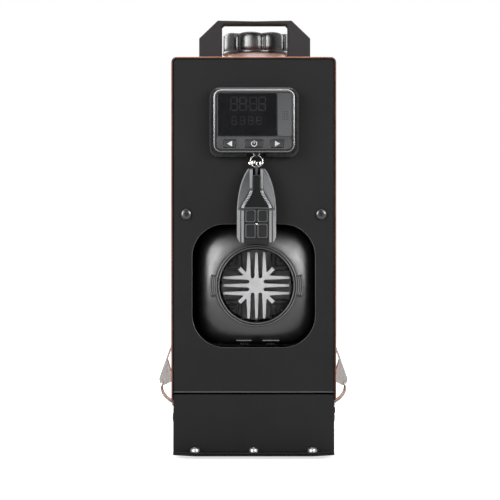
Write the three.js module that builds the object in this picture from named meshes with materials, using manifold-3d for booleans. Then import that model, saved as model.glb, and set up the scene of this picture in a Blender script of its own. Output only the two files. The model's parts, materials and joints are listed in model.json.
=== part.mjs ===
// Diesel air heater in a toolbox-style case.
// Millimetres, +Z up. The front faces -Y. The origin is on the ground, under the middle of the case.

import * as THREE from 'three';
import { mergeVertices } from 'three/addons/utils/BufferGeometryUtils.js';
import Module from 'manifold-3d';

const wasm = await Module();
wasm.setup();

// ---------------------------------------------------------------- driving dimensions

const CLEARANCE = 0.3; // gap between two pieces that touch
const CUT = 5; // how far a cutting tool runs past the faces it cuts

// Facets round a full turn
const FINE = 28;
const MEDIUM = 18;
const COARSE = 14;
const SMALL = 10;
const TINY = 8;
const HEX = 6;

// Facets of a round corner, and steps along a swept tube
const PLAIN_CORNER = 1;
const ROUND_CORNER = 3;
const SMOOTH_CORNER = 4;
const WINDOW_CORNER_STEPS = 5;
const SOFT_SQUARE_STEPS = 24;
const HOSE_STEPS = 18;
const PIPE_STEPS = 16;
const BAIL_STEPS = 32;
const RING_STEPS = 24;

// Case
const CASE_WIDTH = 150;
const CASE_DEPTH = 390;
const CASE_TOP = 364.5;
const CASE_CORNER = 5.3; // outer radius of the two top edges
const SHEET = 1.5; // steel sheet of the case
const RIM_PROUD = 1; // the casing stands this far in front of the panels
const SKIRT_OVERLAP = 5.9; // the casing hangs this far over the base
const PANEL_FLANGE = 10; // folded edge of the front and rear panels
const EDGE_BEVEL = 0.5; // broken edge of a sheet panel
const VENT_LENGTH = 34;
const VENT_HEIGHT = 4;
const VENT_PITCH = 9;
const VENT_COUNT = 6;
const VENT_LOWEST = 96;
const VENT_INSET = 60; // middle of a vent group, from the rear
const INLET_FIELD_RADIUS = 46; // the rear panel's round field of upright slots
const INLET_SLOT_WIDTH = 5;
const INLET_SLOT_PITCH = 10;
const SIGHT_SLOT_WIDTH = 7;
const SIGHT_SLOT_HEIGHT = 96;
const SIGHT_SLOT_INSET = 60; // middle of the fuel sight slot, from the rear

// Base
const FOOT_HEIGHT = 3;
const FOOT_RADIUS = 12;
const FOOT_INSET_X = 24;
const FOOT_INSET_Y = 55;
const FOOT_TAPER = 1;
const BASE_HEIGHT = 54.8;
const PANEL_GAP = 1.4; // between the base's top edge and the panels
const LIP_DEPTH = 16;
const LIP_CORNER_DEPTH = 5;
const LIP_FLAT_WIDTH = 106;
const DECK_FLANGE = 8;
const DECK_DROP = 1.2; // the deck lies this far under the base's top edge

// Screws through the lip and the front panel
const SCREW_SHANK_RADIUS = 2;
const LIP_SCREW_PITCH = 53;
const PANEL_SCREW_SPACING = 122.8;
const PANEL_SCREW_DROP = 4.5; // under the tank shelf's upper face

// Window in the front panel
const WINDOW_WIDTH = 112.6;
const WINDOW_HEIGHT = 112.7;
const WINDOW_CORNER = 30;
const WINDOW_CENTRE_Z = 156.5;

// Fuel tank, its shelf and its filler
const SHELF_TOP = 226; // upper face of the shelf
const SHELF_FLANGE = 9;
const TANK_SIDE_GAP = 5; // between the tank and the casing
const TANK_TOP_GAP = 7;
const TANK_FRONT_GAP = 82; // from the front panel
const TANK_REAR_GAP = 9; // from the rear panel
const TANK_WALL = 3;
const TANK_ROUND = 5;
const NECK_RADIUS = 29;
const NECK_WALL = 3;
const FILLER_X = 3.1;
const FILLER_Y = 5;
const SEAL_LIP = 3.5;
const SEAL_FLANGE = 3; // beyond the edge of the casing's hole
const SEAL_CHAMFER = 1;
const SEAL_THICKNESS = 2.4;
const CAP_RADIUS = 33.9;
const CAP_GRIP_HEIGHT = 17.9; // the lobed part
const CAP_RING_HEIGHT = 2.9; // the plain ring under it
const CAP_RING_RADIUS = 34.2;
const CAP_LIFT_OFF_CASE = 20.9; // from the casing's top to the cap's ring
const CAP_WALL = 2.2;
const CAP_LOBES = 8;
const CAP_GROOVE = 1.9;
const CAP_GROOVE_SHARPNESS = 14; // a higher power makes a narrower groove
const CAP_STEPS_PER_LOBE = 6;
const CAP_PHASE = 10; // degrees, direction of one groove
const CAP_BEVEL = 0.8;
const CAP_VENT_RADIUS = 6;
const CAP_VENT_HEIGHT = 1.4;
const GASKET_THICKNESS = 2;

// Carry handle
const HANDLE_X = 1.2;
const HANDLE_WIDTH = 109;
const HANDLE_LEG = 22.4;
const HANDLE_HEIGHT = 49.7; // above the casing's top
const HANDLE_SHOULDER = 32.1; // height of the outer corner of the clipped shoulder
const HANDLE_TOP_WIDTH = 72.3;
const HANDLE_BAR = 4.5;
const HANDLE_SAG = 0.7; // the bar dips this much in its middle
const HANDLE_THICKNESS = 16;
const HANDLE_INNER_CORNER = 2;
const HANDLE_Y = -45;
const HANDLE_BEVEL = 1.4;

// Heater unit: the local origin is on its axis at the front panel's outer face
const HEATER_X = 2.5;
const HEATER_Z = 156.5;
const SHELL_HALF_WIDTH = 55;
const SHELL_HALF_HEIGHT = 55;
const SHELL_WALL = 2.5;
const SHELL_FRONT = 42; // from the panel's face to the front of the two half shells
const SHELL_LENGTH = 270;
const SHELL_SOFTNESS = 5; // power of the soft square
// The front shell and the cowl: share of the length, share of the width, softness
const FRONT_SHELL_STEPS = [
  [1, 1, 5], [0.55, 0.995, 4.7], [0.3, 0.96, 3.7], [0.12, 0.88, 2.6], [0.03, 0.78, 2.2], [0, 0.71, 2],
];
const COWL_STEPS = [[0, 1, 5], [0.5, 0.97, 4], [1, 0.86, 2.6]];
const NOSE_GAP = 5; // from the panel's face to the nose of the front shell
const COWL_LENGTH = 32;
const COWL_MOUTH = 39; // radius of the cowl's round field of slots
const COWL_SLOT_PITCH = 11;
const COWL_SLOT_WIDTH = 7;
const OUTLET_RADIUS = 36;
const OUTLET_WALL = 2.2;
const OUTLET_DEPTH = 24;
const OUTLET_LIP = 1.6;
const OUTLET_LIP_PROUD = 1.2;
const OUTLET_CHAMFER = 0.6;
const LUG_REACH = 5; // of the bayonet lugs, beyond the duct
const LUG_HALF_HEIGHT = 10;
const STAR_DEPTH = 14; // the bright fin ends, behind the panel's face
const STAR_REACH = 30.3;
const STAR_PITCH = 7.1;
const STAR_TIP = 2.5;
const STAR_ROOT = 3.9;
const STAR_HUB = 10.5;
const STAR_DIAGONAL = 22;
const STAR_DIAGONAL_WIDTH = 3.5;
const STAR_LENGTH = 34;
const CORE_RADIUS = 33;
const CORE_WALL = 5;
const CORE_LENGTH = 150;
const FIN_COUNT = 16;
const FIN_REACH = 46;
const FIN_THICKNESS = 2.2;
const FIN_ROOT = 2; // how deep a fin is rooted in the drum
const FIN_FRONT_GAP = 8;
const FIN_REAR_GAP = 4;
const STAR_ROOT_DEPTH = 1; // how deep the star runs into the drum
const PORT_WALL = 2;
const FLANGE_THICKNESS = 4;
const BURNER_RADIUS = 24;
const BURNER_WALL = 2;
const BURNER_LENGTH = 96;
const CUP_LENGTH = 26; // the burner's air cup, which holds the impeller
const CUP_RADIUS = 37;
const CUP_OVERLAP = 0.5;
const PLUG_RADIUS = 4.5;
const PLUG_INSET = 3; // from the burner's flange to the plug
const PLUG_SINK = 1; // the thread runs this far into the nut
const PLUG_NUT_RADIUS = 6.5;
const PLUG_NUT_HEIGHT = 4;
const PLUG_TERMINAL_RADIUS = 1.5;
const PLUG_TERMINAL_HEIGHT = 7;
const MOTOR_RADIUS = 21;
const MOTOR_LENGTH = 34;
const MOTOR_GAP = 2; // behind the burner's cup
const SPOKE_THICKNESS = 4;
const SPOKE_HALF_WIDTH = 6;
const SHAFT_RADIUS = 3;
const IMPELLER_RADIUS = 27;
const IMPELLER_LENGTH = 7;
const IMPELLER_BLADES = 8;
const IMPELLER_GAP = 4; // in front of the motor
const IMPELLER_DISC = 2;
const IMPELLER_EYE = 13.5; // radius where the blades begin
const IMPELLER_HUB_RADIUS = 6;
const IMPELLER_RIM = 0.5; // the blades end this far inside the disc's edge
const SHAFT_NOSE = 1; // the shaft stands this far out of the impeller
const FAN_RADIUS = 42;
const FAN_LENGTH = 20;
const FAN_BLADES = 7;
const FAN_GAP = 6; // behind the motor
const FAN_HUB_RADIUS = 14;
const BLADE_ROOT = 1; // how deep a blade and the shaft are rooted in the hub
const FAN_PITCH = 40; // degrees
const BLADE_THICKNESS = 1.8;
const BOARD_WIDTH = 58;
const BOARD_LENGTH = 32;
const BOARD_THICKNESS = 1.6;
const BOARD_HEIGHT = 36; // above the axis
const POST_RADIUS = 2.5;
const POST_INSET_X = 9; // from the board's edges
const POST_INSET_Y = 4;

// Pipes, lead and gland
const PIPE_X = 24; // the exhaust is at -PIPE_X from the unit's axis, the combustion air at +PIPE_X
const PIPE_Z = 29;
const EXHAUST_RADIUS = 12;
const EXHAUST_WALL = 1.2;
const EXHAUST_PORT = 120; // from the front of the half shells
const AIR_RADIUS = 11;
const AIR_WALL = 1.5;
const PORT_DROP = 8; // the ports reach this far under the shell
const PIPE_BEND = 24;
const PIPE_LEAD_IN = 8; // straight before the bend
const PIPE_LEAD_OUT = 10;
const PIPE_PLAY = 1.5; // round the pipes, where they pass the deck, the cradle and the rear wall
const PIPE_STUB = 18.4; // how far both pipes stand out of the rear
const LEAD_RADIUS = 2.6;
const LEAD_Y = 100;
const LEAD_LOW_Z = 30;
const LEAD_HIGH_Z = 44;
const LEAD_BULGE = 15;
const LEAD_SHOULDER = 6.75; // how far out the lead starts to turn
const LEAD_SLOPE = 1;
const GLAND_Y = -70;
const GLAND_Z = 33.5;
const GLAND_STUB_RADIUS = 3.9; // of the hole in the wall
// The gland's outside: radius, distance from the wall
const GLAND_DOME = [[6.5, 0], [6.5, 1.5], [4.9, 4], [2.3, 6], [0, 6]];

// Cradle and fuel line
const CRADLE_WIDTH = 80;
const CRADLE_SHEET = 2;
const CRADLE_INSET = 20;
const FUEL_WALL_GAP = 16; // from the casing's inside to the fuel line's axis
const FUEL_HEIGHT = 19.5; // of the fuel line's axis above the deck
const FEED_RADIUS = 4;
const FEED_X = 47; // the feed's way into the unit, from its axis
const FEED_STUB_DROP = 40;
const PUMP_FRONT = 57;
const PUMP_LENGTH = 42;
const PUMP_RADIUS = 12;
const SADDLE_HALF_WIDTH = 6;
const SADDLE_INSET = 14; // from the pump's ends
const SADDLE_TOP = 9.6; // under the pump's axis
const FILTER_LENGTH = 24;
const FILTER_RADIUS = 10;
const SPIGOT_RADIUS = 3;
const SPIGOT_LENGTH = 8;
const LINK_LENGTH = 9;
const HOSE_END = 7; // straight run at a hose's end
const SUCTION_RISE = 60; // height over the fuel line where the suction hose starts to bend
// The hose bends from upright into the fuel line: steps in x, y and height from the elbow
const SUCTION_BEND = [[-2, 0, 22], [0, -2, 9], [0, -8, 1]];
const FEED_BEND_LOW = 3; // heights of the feed hose over the fuel line
const FEED_BEND_MIDDLE = 12;
const FEED_BEND_HIGH = 24;
const SPOUT_RADIUS = 5;
const SPOUT_X = 50;
const SPOUT_INSET = 12; // from the tank's rear
const SPOUT_DROP = 12; // the tank's outlet reaches this far under the shelf

// Wall controller: heights are from the middle of its back shell
const CONTROLLER_X = 0.3;
const CONTROLLER_MIDDLE_Z = 304.5;
const CONTROLLER_LEAD_HOLE = 5;
const BACK_WIDTH = 81;
const BACK_HEIGHT = 62.7;
const BACK_CORNER = 9;
const BACK_DEPTH = 11;
const BACK_WALL = 2.5;
const BACK_BEVEL = 1.5;
const FACE_WIDTH = 73;
const FACE_HEIGHT = 56.6;
const FACE_RISE = 0.8; // the face sits this much higher than the back shell
const FACE_CORNER = 6.8;
const FACE_DEPTH = 7;
const FACE_SINK = 0.8; // the face plate lies this far behind the bezel's rim
const BEZEL_WIDTH = 2.1;
const BEZEL_BEVEL = 0.8;
const CAVITY_INSET = 2.4; // from the face's outline to the cavity behind it
const SCREEN_LEFT = -33;
const SCREEN_RIGHT = 21;
const SCREEN_BOTTOM = -12.7;
const SCREEN_TOP = 25.3;
const SCREEN_THICKNESS = 2;
const SCREEN_PROUD = 0.2;
const SCREEN_CORNER = 2;
const BUTTON_Z = -19.8;
const BUTTON_HEIGHT = 6.6;
const BUTTON_PROUD = 0.9;
const BUTTON_CORNER = 0.8;
const BUTTON_COLLAR = 1; // the collar behind the face is this much larger all round
const BUTTON_REAR = 2; // how far a button reaches behind the face
const CONTROLLER_BUTTONS = [
  { name: 'controller_button_left', x: -21.9, width: 10.6 },
  { name: 'controller_button_power', x: 0, width: 15.7 },
  { name: 'controller_button_right', x: 20.9, width: 11.2 },
];

// Hook, key ring and remote
const HOOK_X = 2.2; // from the controller's middle
const HOOK_NOTCH = 17;
const HOOK_RISE = 3.2;
const HOOK_HALF_DEPTH = 3;
const HOOK_ROOT = 1;
const HOOK_UNDER_EYE = 2.3;
const HOOK_THICKNESS = 2.2;
const HOOK_EYE_Z = -29.6;
const HANG_Y = -8; // the ring hangs this far in front of the panel
const EYE_RADIUS = 1.35;
const RING_RADIUS = 5.5;
const RING_WIRE = 0.75;
const REMOTE_WIDTH = 35.5;
const REMOTE_HEIGHT = 68.5;
const REMOTE_THICKNESS = 12;
const REMOTE_SHOULDER = 41; // from the top to where the body has its full width
const REMOTE_ELLIPSE = 44.4; // half the height of the ellipse that its upper sides follow
const REMOTE_ELLIPSE_STEPS = 9;
const REMOTE_CLIP = [[0, 6], [2.3, 1.6], [5, 0]]; // lower corner: in from the side, up from below
const REMOTE_BEVEL = 1;
const REMOTE_SLOT = 7;
const REMOTE_SLOT_DEPTH = 6.4;
const REMOTE_EYE_Z = 1;
const TAB_HALF_DEPTH = 3;
const TAB_OVER_EYE = 1.9;
const TAB_ROOT = 1;
const TONGUE_WIDTH = 1.2;
const TONGUE_DEPTH = 2;
const TONGUE_BOTTOM = 22;
const TONGUE_LENGTH = 10;
const TONGUE_ROOT = 0.5;
const RAIL_X = 11.8;
const RAIL_WIDTH = 1.9;
const RAIL_PROUD = 0.5;
const RAIL_ROOT = 1;
const RAIL_END_GAP = 1.5; // to the remote's end and to the cover
const COVER_TOP = 6.9;
const COVER_SPREAD = 18.8;
const COVER_BOTTOM = 36.3;
const COVER_NECK = 5.6;
const COVER_WIDTH = 29;
const COVER_THICKNESS = 1.9;
const COVER_EDGE = 1; // height of the skirt's upright edge
const COVER_BEVEL = 0.5;
const COVER_TRAVEL = 27;
const KEY_PROUD = 0.4;
const KEY_DEPTH = 3;
const KEY_CORNER = 1.2;
const KEY_BEVEL = 0.3;
const KEY_POCKET = 4; // deeper than the key by its travel and more
const KEY_X = 5.45;
const KEY_WIDTH = 9;
const UPPER_KEYS = { z: -43.2, width: KEY_WIDTH, height: 11.2 };
const LOWER_KEYS = { z: -56.6, width: KEY_WIDTH, height: 12.6 };
const REMOTE_BUTTONS = [
  { name: 'remote_button_1', x: -KEY_X, ...UPPER_KEYS },
  { name: 'remote_button_2', x: KEY_X, ...UPPER_KEYS },
  { name: 'remote_button_3', x: -KEY_X, ...LOWER_KEYS },
  { name: 'remote_button_4', x: KEY_X, ...LOWER_KEYS },
];

// Draw latches: heights are from the casing's lower edge, widths from its outer face
const LATCH_Y = 0;
const LATCH_SHEET = 1.5;
const PIVOT_X = 5;
const PIVOT_Z = 10.1;
const PIVOT_RADIUS = 1.8;
const EAR_OUTER = 6.5;
const CHEEK_OUTER = 9;
const BAIL_X = 16.2;
const BAIL_Z = 4.1;
const BAIL_WIRE = 1;
const BAR_X = 3.2;
const BAR_Z = -17.5;
const HOOK_PLAY = 1.4;
const HOOK_DROP = 1.8; // the catch's hook reaches this far under the bar's middle
const CATCH_TOP_GAP = 6;
const CATCH_FOOT = 12; // the catch's plate ends this far under the bar
const EAR_HALF_HEIGHT = 8;
// One ear of the bracket, about the pivot: width beyond it, height over it
const EAR_OUTLINE = [[1, -4], [3, 0], [1, 4]];
// The lever's plate, outside then inside, and its cheek: width from the casing, height
const LEVER_OUTSIDE = [[18.6, 3.6], [19.6, 8.2], [9.6, 36.4], [3.4, 52.1]];
const LEVER_INSIDE = [[1.9, 51.5], [8.1, 35.9], [18.1, 8.2], [17.1, 3.8]];
const CHEEK_OUTLINE = [
  [18.2, 2.6], [18.9, 8.2], [11.6, 28.4], [8, 16.1], [3.5, 13.3], [1.6, 10.1], [4, 6.7],
  [13.8, 1.7], [16.2, 1.3],
];
// Half of the bail's path below the cheek: width from its pin, height from its pin
const BAIL_BOW = [[0.3, -1.3], [1.2, -4.7], [0, -10.1], [-3.6, -15.1], [-8.4, -18.9]];
const BAIL_TURN = 1.6; // how far in the bar begins

// ---------------------------------------------------------------- derived places

const HALF = CASE_WIDTH / 2;
const FRONT = -CASE_DEPTH / 2;
const REAR = CASE_DEPTH / 2;
const INNER_HALF = HALF - SHEET;
const BASE_HALF = INNER_HALF - CLEARANCE;
const BASE_BOTTOM = FOOT_HEIGHT;
const BASE_TOP = BASE_BOTTOM + BASE_HEIGHT;
const CASE_BOTTOM = BASE_TOP - SKIRT_OVERLAP;
const PANEL_HALF = INNER_HALF - CLEARANCE;
const PANEL_BOTTOM = BASE_TOP + PANEL_GAP;
const PANEL_TOP = CASE_TOP - SHEET - CLEARANCE;
const DECK_TOP = BASE_TOP - DECK_DROP;
const BEHIND_FRONT = FRONT + SHEET + CLEARANCE; // first free plane behind the front panel
const BEFORE_REAR = REAR - SHEET - CLEARANCE;
const FLOOR_TOP = BASE_BOTTOM + SHEET; // upper face of the tray's floor
const LIP_TOP = FLOOR_TOP + CLEARANCE + SHEET; // upper face of the front cover's lip
const LIP_SCREW_Y = FRONT - LIP_DEPTH / 2;
const PANEL_SCREW_Z = SHELF_TOP - PANEL_SCREW_DROP;
const SHELF_BOTTOM = SHELF_TOP - SHEET;
const TANK_BOTTOM = SHELF_TOP + CLEARANCE;
const TANK_TOP = CASE_TOP - SHEET - TANK_TOP_GAP;
const TANK_HALF = INNER_HALF - TANK_SIDE_GAP;
const TANK_FRONT = FRONT + TANK_FRONT_GAP;
const TANK_REAR = REAR - TANK_REAR_GAP;
const SPOUT_Y = TANK_REAR - SPOUT_INSET;
const CAP_BOTTOM = CASE_TOP + CAP_LIFT_OFF_CASE;
const CAP_TOP = CAP_BOTTOM + CAP_RING_HEIGHT + CAP_GRIP_HEIGHT;
const NECK_TOP = CAP_TOP - CAP_WALL - GASKET_THICKNESS - 2 * CLEARANCE;
const SHELL_REAR = SHELL_FRONT + SHELL_LENGTH;
const CORE_REAR = STAR_DEPTH + STAR_LENGTH + CORE_LENGTH;
const BURNER_FLANGE = CORE_REAR + FLANGE_THICKNESS + CLEARANCE; // front of the burner's flange
const CUP_FRONT = BURNER_FLANGE + SHELL_WALL;
const CUP_REAR = CUP_FRONT + CUP_LENGTH;
const MOTOR_FRONT = CUP_REAR + MOTOR_GAP;
const FAN_FRONT = MOTOR_FRONT + MOTOR_LENGTH + FAN_GAP;
const EXHAUST_Y = SHELL_FRONT + EXHAUST_PORT; // along the unit, from the panel's face
const AIR_Y = CUP_FRONT + CUP_LENGTH / 2;
const FEED_Y = AIR_Y;
const FUEL_X = INNER_HALF - FUEL_WALL_GAP;
const FUEL_Z = DECK_TOP + FUEL_HEIGHT;

// ---------------------------------------------------------------- finishes

const finish = (color, roughness, metalness = 0) => ({ color, roughness, metalness });
const ORANGE_PAINT = finish(0xc85a26, 0.35, 0.2);
const BLACK_PAINT = finish(0x2b2b2b, 0.55, 0.1);
const BLACK_PLASTIC = finish(0x1d1d1e, 0.5);
const GLOSS_BLACK = finish(0x121213, 0.12);
const WHITE_PLASTIC = finish(0xe8e2dc, 0.45);
const RUBBER = finish(0x161616, 0.85);
const BRIGHT_STEEL = finish(0xc4c6c8, 0.25, 1);
const CAST_ALUMINIUM = finish(0xb9bbbb, 0.45, 0.9);
const SILVER_PLASTIC = finish(0xa9adb0, 0.3, 0.5);
const GREY_PLASTIC = finish(0x4a4c4f, 0.5);
const BRASS = finish(0xb08d4a, 0.35, 1);
const BOARD_GREEN = finish(0x1d4a33, 0.6);
const FILTER_AMBER = finish(0xc9b98a, 0.3);

// ---------------------------------------------------------------- solids and outlines

// A closed three.js geometry as a solid, with its faces turned outwards.
function solidOf(geometry) {
  const bare = geometry.clone();
  bare.deleteAttribute('normal');
  bare.deleteAttribute('uv');
  const merged = mergeVertices(bare, 1e-4);
  const corners = merged.attributes.position.array;
  const triangles = Uint32Array.from(merged.index.array);
  if (signedVolume(corners, triangles) < 0) {
    turnInsideOut(triangles);
  }
  const vertProperties = new Float32Array(corners);
  return new wasm.Manifold(new wasm.Mesh({ numProp: 3, vertProperties, triVerts: triangles }));
}

function signedVolume(corners, triangles) {
  const [a, b, c] = [new THREE.Vector3(), new THREE.Vector3(), new THREE.Vector3()];
  let sixfold = 0;
  for (let i = 0; i < triangles.length; i += 3) {
    a.fromArray(corners, 3 * triangles[i]);
    b.fromArray(corners, 3 * triangles[i + 1]);
    c.fromArray(corners, 3 * triangles[i + 2]);
    sixfold += a.dot(b.cross(c));
  }
  return sixfold;
}

function turnInsideOut(triangles) {
  for (let i = 0; i < triangles.length; i += 3) {
    const second = triangles[i + 1];
    triangles[i + 1] = triangles[i + 2];
    triangles[i + 2] = second;
  }
}

function geometryOf(solid) {
  const { numProp, vertProperties, triVerts } = solid.getMesh();
  const geometry = new THREE.BufferGeometry();
  const corners = new Float32Array((vertProperties.length / numProp) * 3);
  for (let i = 0; i < corners.length / 3; i += 1) {
    corners.set(vertProperties.subarray(i * numProp, i * numProp + 3), i * 3);
  }
  geometry.setAttribute('position', new THREE.BufferAttribute(corners, 3));
  geometry.setIndex(Array.from(triVerts));
  geometry.computeVertexNormals();
  return geometry;
}

function addPiece(group, name, solid, { color, roughness, metalness }) {
  const material = new THREE.MeshStandardMaterial({ color, roughness, metalness });
  const mesh = new THREE.Mesh(geometryOf(solid), material);
  mesh.name = name;
  group.add(mesh);
  return mesh;
}

function box([x0, x1], [y0, y1], [z0, z1]) {
  const geometry = new THREE.BoxGeometry(x1 - x0, y1 - y0, z1 - z0);
  return solidOf(geometry.translate((x0 + x1) / 2, (y0 + y1) / 2, (z0 + z1) / 2));
}

function rodZ(radius, z0, z1, x = 0, y = 0, sides = COARSE) {
  const geometry = new THREE.CylinderGeometry(radius, radius, z1 - z0, sides);
  return solidOf(geometry.rotateX(Math.PI / 2).translate(x, y, (z0 + z1) / 2));
}

function rodY(radius, y0, y1, x = 0, z = 0, sides = COARSE) {
  const geometry = new THREE.CylinderGeometry(radius, radius, y1 - y0, sides);
  return solidOf(geometry.translate(x, (y0 + y1) / 2, z));
}

function rodX(radius, x0, x1, y = 0, z = 0, sides = COARSE) {
  const geometry = new THREE.CylinderGeometry(radius, radius, x1 - x0, sides);
  return solidOf(geometry.rotateZ(Math.PI / 2).translate((x0 + x1) / 2, y, z));
}

function extruded(shape, depth, bevel, curveSegments) {
  const settings = {
    depth: depth - 2 * bevel,
    bevelEnabled: bevel > 0,
    bevelThickness: bevel,
    bevelSize: bevel,
    bevelOffset: -bevel,
    bevelSegments: 1,
    curveSegments,
  };
  return new THREE.ExtrudeGeometry(shape, settings).translate(0, 0, bevel);
}

// An outline in x and y, swept from z0 to z1.
function prismZ(shape, z0, z1, bevel = 0, curveSegments = ROUND_CORNER) {
  return solidOf(extruded(shape, z1 - z0, bevel, curveSegments).translate(0, 0, z0));
}

// An outline in x and z, swept from y0 to y1.
function prismY(shape, y0, y1, bevel = 0, curveSegments = ROUND_CORNER) {
  const geometry = extruded(shape, y1 - y0, bevel, curveSegments);
  return solidOf(geometry.rotateX(Math.PI / 2).translate(0, y1, 0));
}

// An outline in y and z, swept from x0 to x1.
function prismX(shape, x0, x1, bevel = 0, curveSegments = ROUND_CORNER) {
  const turn = new THREE.Matrix4().set(0, 0, 1, 0, 1, 0, 0, 0, 0, 1, 0, 0, 0, 0, 0, 1);
  const geometry = extruded(shape, x1 - x0, bevel, curveSegments);
  return solidOf(geometry.applyMatrix4(turn).translate(x0, 0, 0));
}

function polygon(points) {
  return new THREE.Shape(points.map(([u, v]) => new THREE.Vector2(u, v)));
}

function roundedBox(u0, u1, v0, v1, radius) {
  const shape = new THREE.Shape();
  shape.moveTo(u0 + radius, v0);
  shape.lineTo(u1 - radius, v0);
  shape.absarc(u1 - radius, v0 + radius, radius, -Math.PI / 2, 0);
  shape.lineTo(u1, v1 - radius);
  shape.absarc(u1 - radius, v1 - radius, radius, 0, Math.PI / 2);
  shape.lineTo(u0 + radius, v1);
  shape.absarc(u0 + radius, v1 - radius, radius, Math.PI / 2, Math.PI);
  shape.lineTo(u0, v0 + radius);
  shape.absarc(u0 + radius, v0 + radius, radius, Math.PI, 1.5 * Math.PI);
  return shape;
}

// A slot with round ends, lengthU long and lengthV high.
function slot(u, v, lengthU, lengthV) {
  const radius = Math.min(lengthU, lengthV) / 2 - 0.01;
  return roundedBox(u - lengthU / 2, u + lengthU / 2, v - lengthV / 2, v + lengthV / 2, radius);
}

// A profile of [radius, y] corners, spun about the Y axis.
function spunY(profile, sides = MEDIUM) {
  const points = [...profile, profile[0]].map(([radius, y]) => new THREE.Vector2(radius, y));
  return solidOf(new THREE.LatheGeometry(points, sides));
}

// A profile of [radius, z] corners, spun about the Z axis.
function spunZ(profile, sides = MEDIUM) {
  const points = [...profile, profile[0]].map(([radius, z]) => new THREE.Vector2(radius, z));
  return solidOf(new THREE.LatheGeometry(points, sides).rotateX(Math.PI / 2));
}

// A round tube along a smooth curve through the points; bore 0 makes it solid.
function tube(points, radius, bore, sides, steps) {
  const section = new THREE.Shape(ring(radius, sides));
  if (bore > 0) {
    section.holes.push(new THREE.Path(ring(bore, sides)));
  }
  const path = new THREE.CatmullRomCurve3(points.map((point) => new THREE.Vector3(...point)));
  path.curveType = 'centripetal';
  return solidOf(new THREE.ExtrudeGeometry(section, { steps, extrudePath: path }));
}

function ring(radius, sides) {
  const points = [];
  for (let i = 0; i < sides; i += 1) {
    const angle = (2 * Math.PI * i) / sides;
    points.push(new THREE.Vector2(radius * Math.cos(angle), radius * Math.sin(angle)));
  }
  return points;
}

// A body through rings of equally many points, closed by a fan at each end.
function loft(rings) {
  const count = rings[0].length;
  const corners = rings.flat();
  const triangles = [];
  for (let k = 0; k + 1 < rings.length; k += 1) {
    for (let i = 0; i < count; i += 1) {
      const [a, b] = [k * count + i, k * count + ((i + 1) % count)];
      triangles.push(a, b, b + count, a, b + count, a + count);
    }
  }
  const last = (rings.length - 1) * count;
  const [first, end] = [corners.length, corners.length + 1];
  corners.push(middle(rings[0]), middle(rings[rings.length - 1]));
  for (let i = 0; i < count; i += 1) {
    const next = (i + 1) % count;
    triangles.push(first, next, i, end, last + i, last + next);
  }
  const geometry = new THREE.BufferGeometry();
  geometry.setAttribute('position', new THREE.Float32BufferAttribute(corners.flat(), 3));
  geometry.setIndex(triangles);
  return solidOf(geometry);
}

function middle(points) {
  const sum = points.reduce(([x, y, z], [u, v, w]) => [x + u, y + v, z + w], [0, 0, 0]);
  return sum.map((value) => value / points.length);
}

function joined(...solids) {
  return solids.reduce((whole, solid) => whole.add(solid));
}

function cut(solid, ...tools) {
  return tools.reduce((rest, tool) => rest.subtract(tool), solid);
}

// The same solid turned about the Y axis through the origin.
function turnedY(solid, degrees) {
  return solid.rotate([0, degrees, 0]);
}

function radians(degrees) {
  return (degrees * Math.PI) / 180;
}

// ---------------------------------------------------------------- base

// The outline, seen from above, of the base with its forward lip.
function lipOutline(halfWidth, back) {
  const flat = LIP_FLAT_WIDTH / 2;
  return polygon([
    [-halfWidth, back],
    [-halfWidth, FRONT - LIP_CORNER_DEPTH],
    [-flat, FRONT - LIP_DEPTH],
    [flat, FRONT - LIP_DEPTH],
    [halfWidth, FRONT - LIP_CORNER_DEPTH],
    [halfWidth, back],
  ]);
}

function baseTray() {
  const shell = prismY(baseSection(), BEHIND_FRONT, REAR - SHEET);
  const rearWall = box([-BASE_HALF, BASE_HALF], [REAR - SHEET, REAR], [BASE_BOTTOM, BASE_TOP]);
  const tongue = prismZ(lipOutline(BASE_HALF, BEHIND_FRONT), BASE_BOTTOM, FLOOR_TOP);
  const whole = joined(shell, rearWall, tongue);
  return cut(
    whole,
    ...lipScrewHoles(BASE_BOTTOM, FLOOR_TOP),
    rodY(EXHAUST_RADIUS + PIPE_PLAY, REAR - CUT, REAR + CUT, HEATER_X - PIPE_X, PIPE_Z),
    rodY(AIR_RADIUS + PIPE_PLAY, REAR - CUT, REAR + CUT, HEATER_X + PIPE_X, PIPE_Z),
    rodX(GLAND_STUB_RADIUS, BASE_HALF - CUT, BASE_HALF + CUT, GLAND_Y, GLAND_Z, SMALL),
    rodX(LEAD_RADIUS + CLEARANCE, BASE_HALF - CUT, BASE_HALF + CUT, LEAD_Y, LEAD_LOW_Z, SMALL),
    rodX(LEAD_RADIUS + CLEARANCE, BASE_HALF - CUT, BASE_HALF + CUT, LEAD_Y, LEAD_HIGH_Z, SMALL),
  );
}

// A channel, open at the top: the floor and both side walls.
function baseSection() {
  const inner = BASE_HALF - SHEET;
  return polygon([
    [-BASE_HALF, BASE_BOTTOM],
    [BASE_HALF, BASE_BOTTOM],
    [BASE_HALF, BASE_TOP],
    [inner, BASE_TOP],
    [inner, FLOOR_TOP],
    [-inner, FLOOR_TOP],
    [-inner, BASE_TOP],
    [-BASE_HALF, BASE_TOP],
  ]);
}

function lipScrewHoles(z0, z1) {
  const radius = SCREW_SHANK_RADIUS + CLEARANCE;
  return lipScrewPlaces().map((x) => rodZ(radius, z0 - CUT, z1 + CUT, x, LIP_SCREW_Y, SMALL));
}

function lipScrewPlaces() {
  return [-LIP_SCREW_PITCH, 0, LIP_SCREW_PITCH];
}

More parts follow.
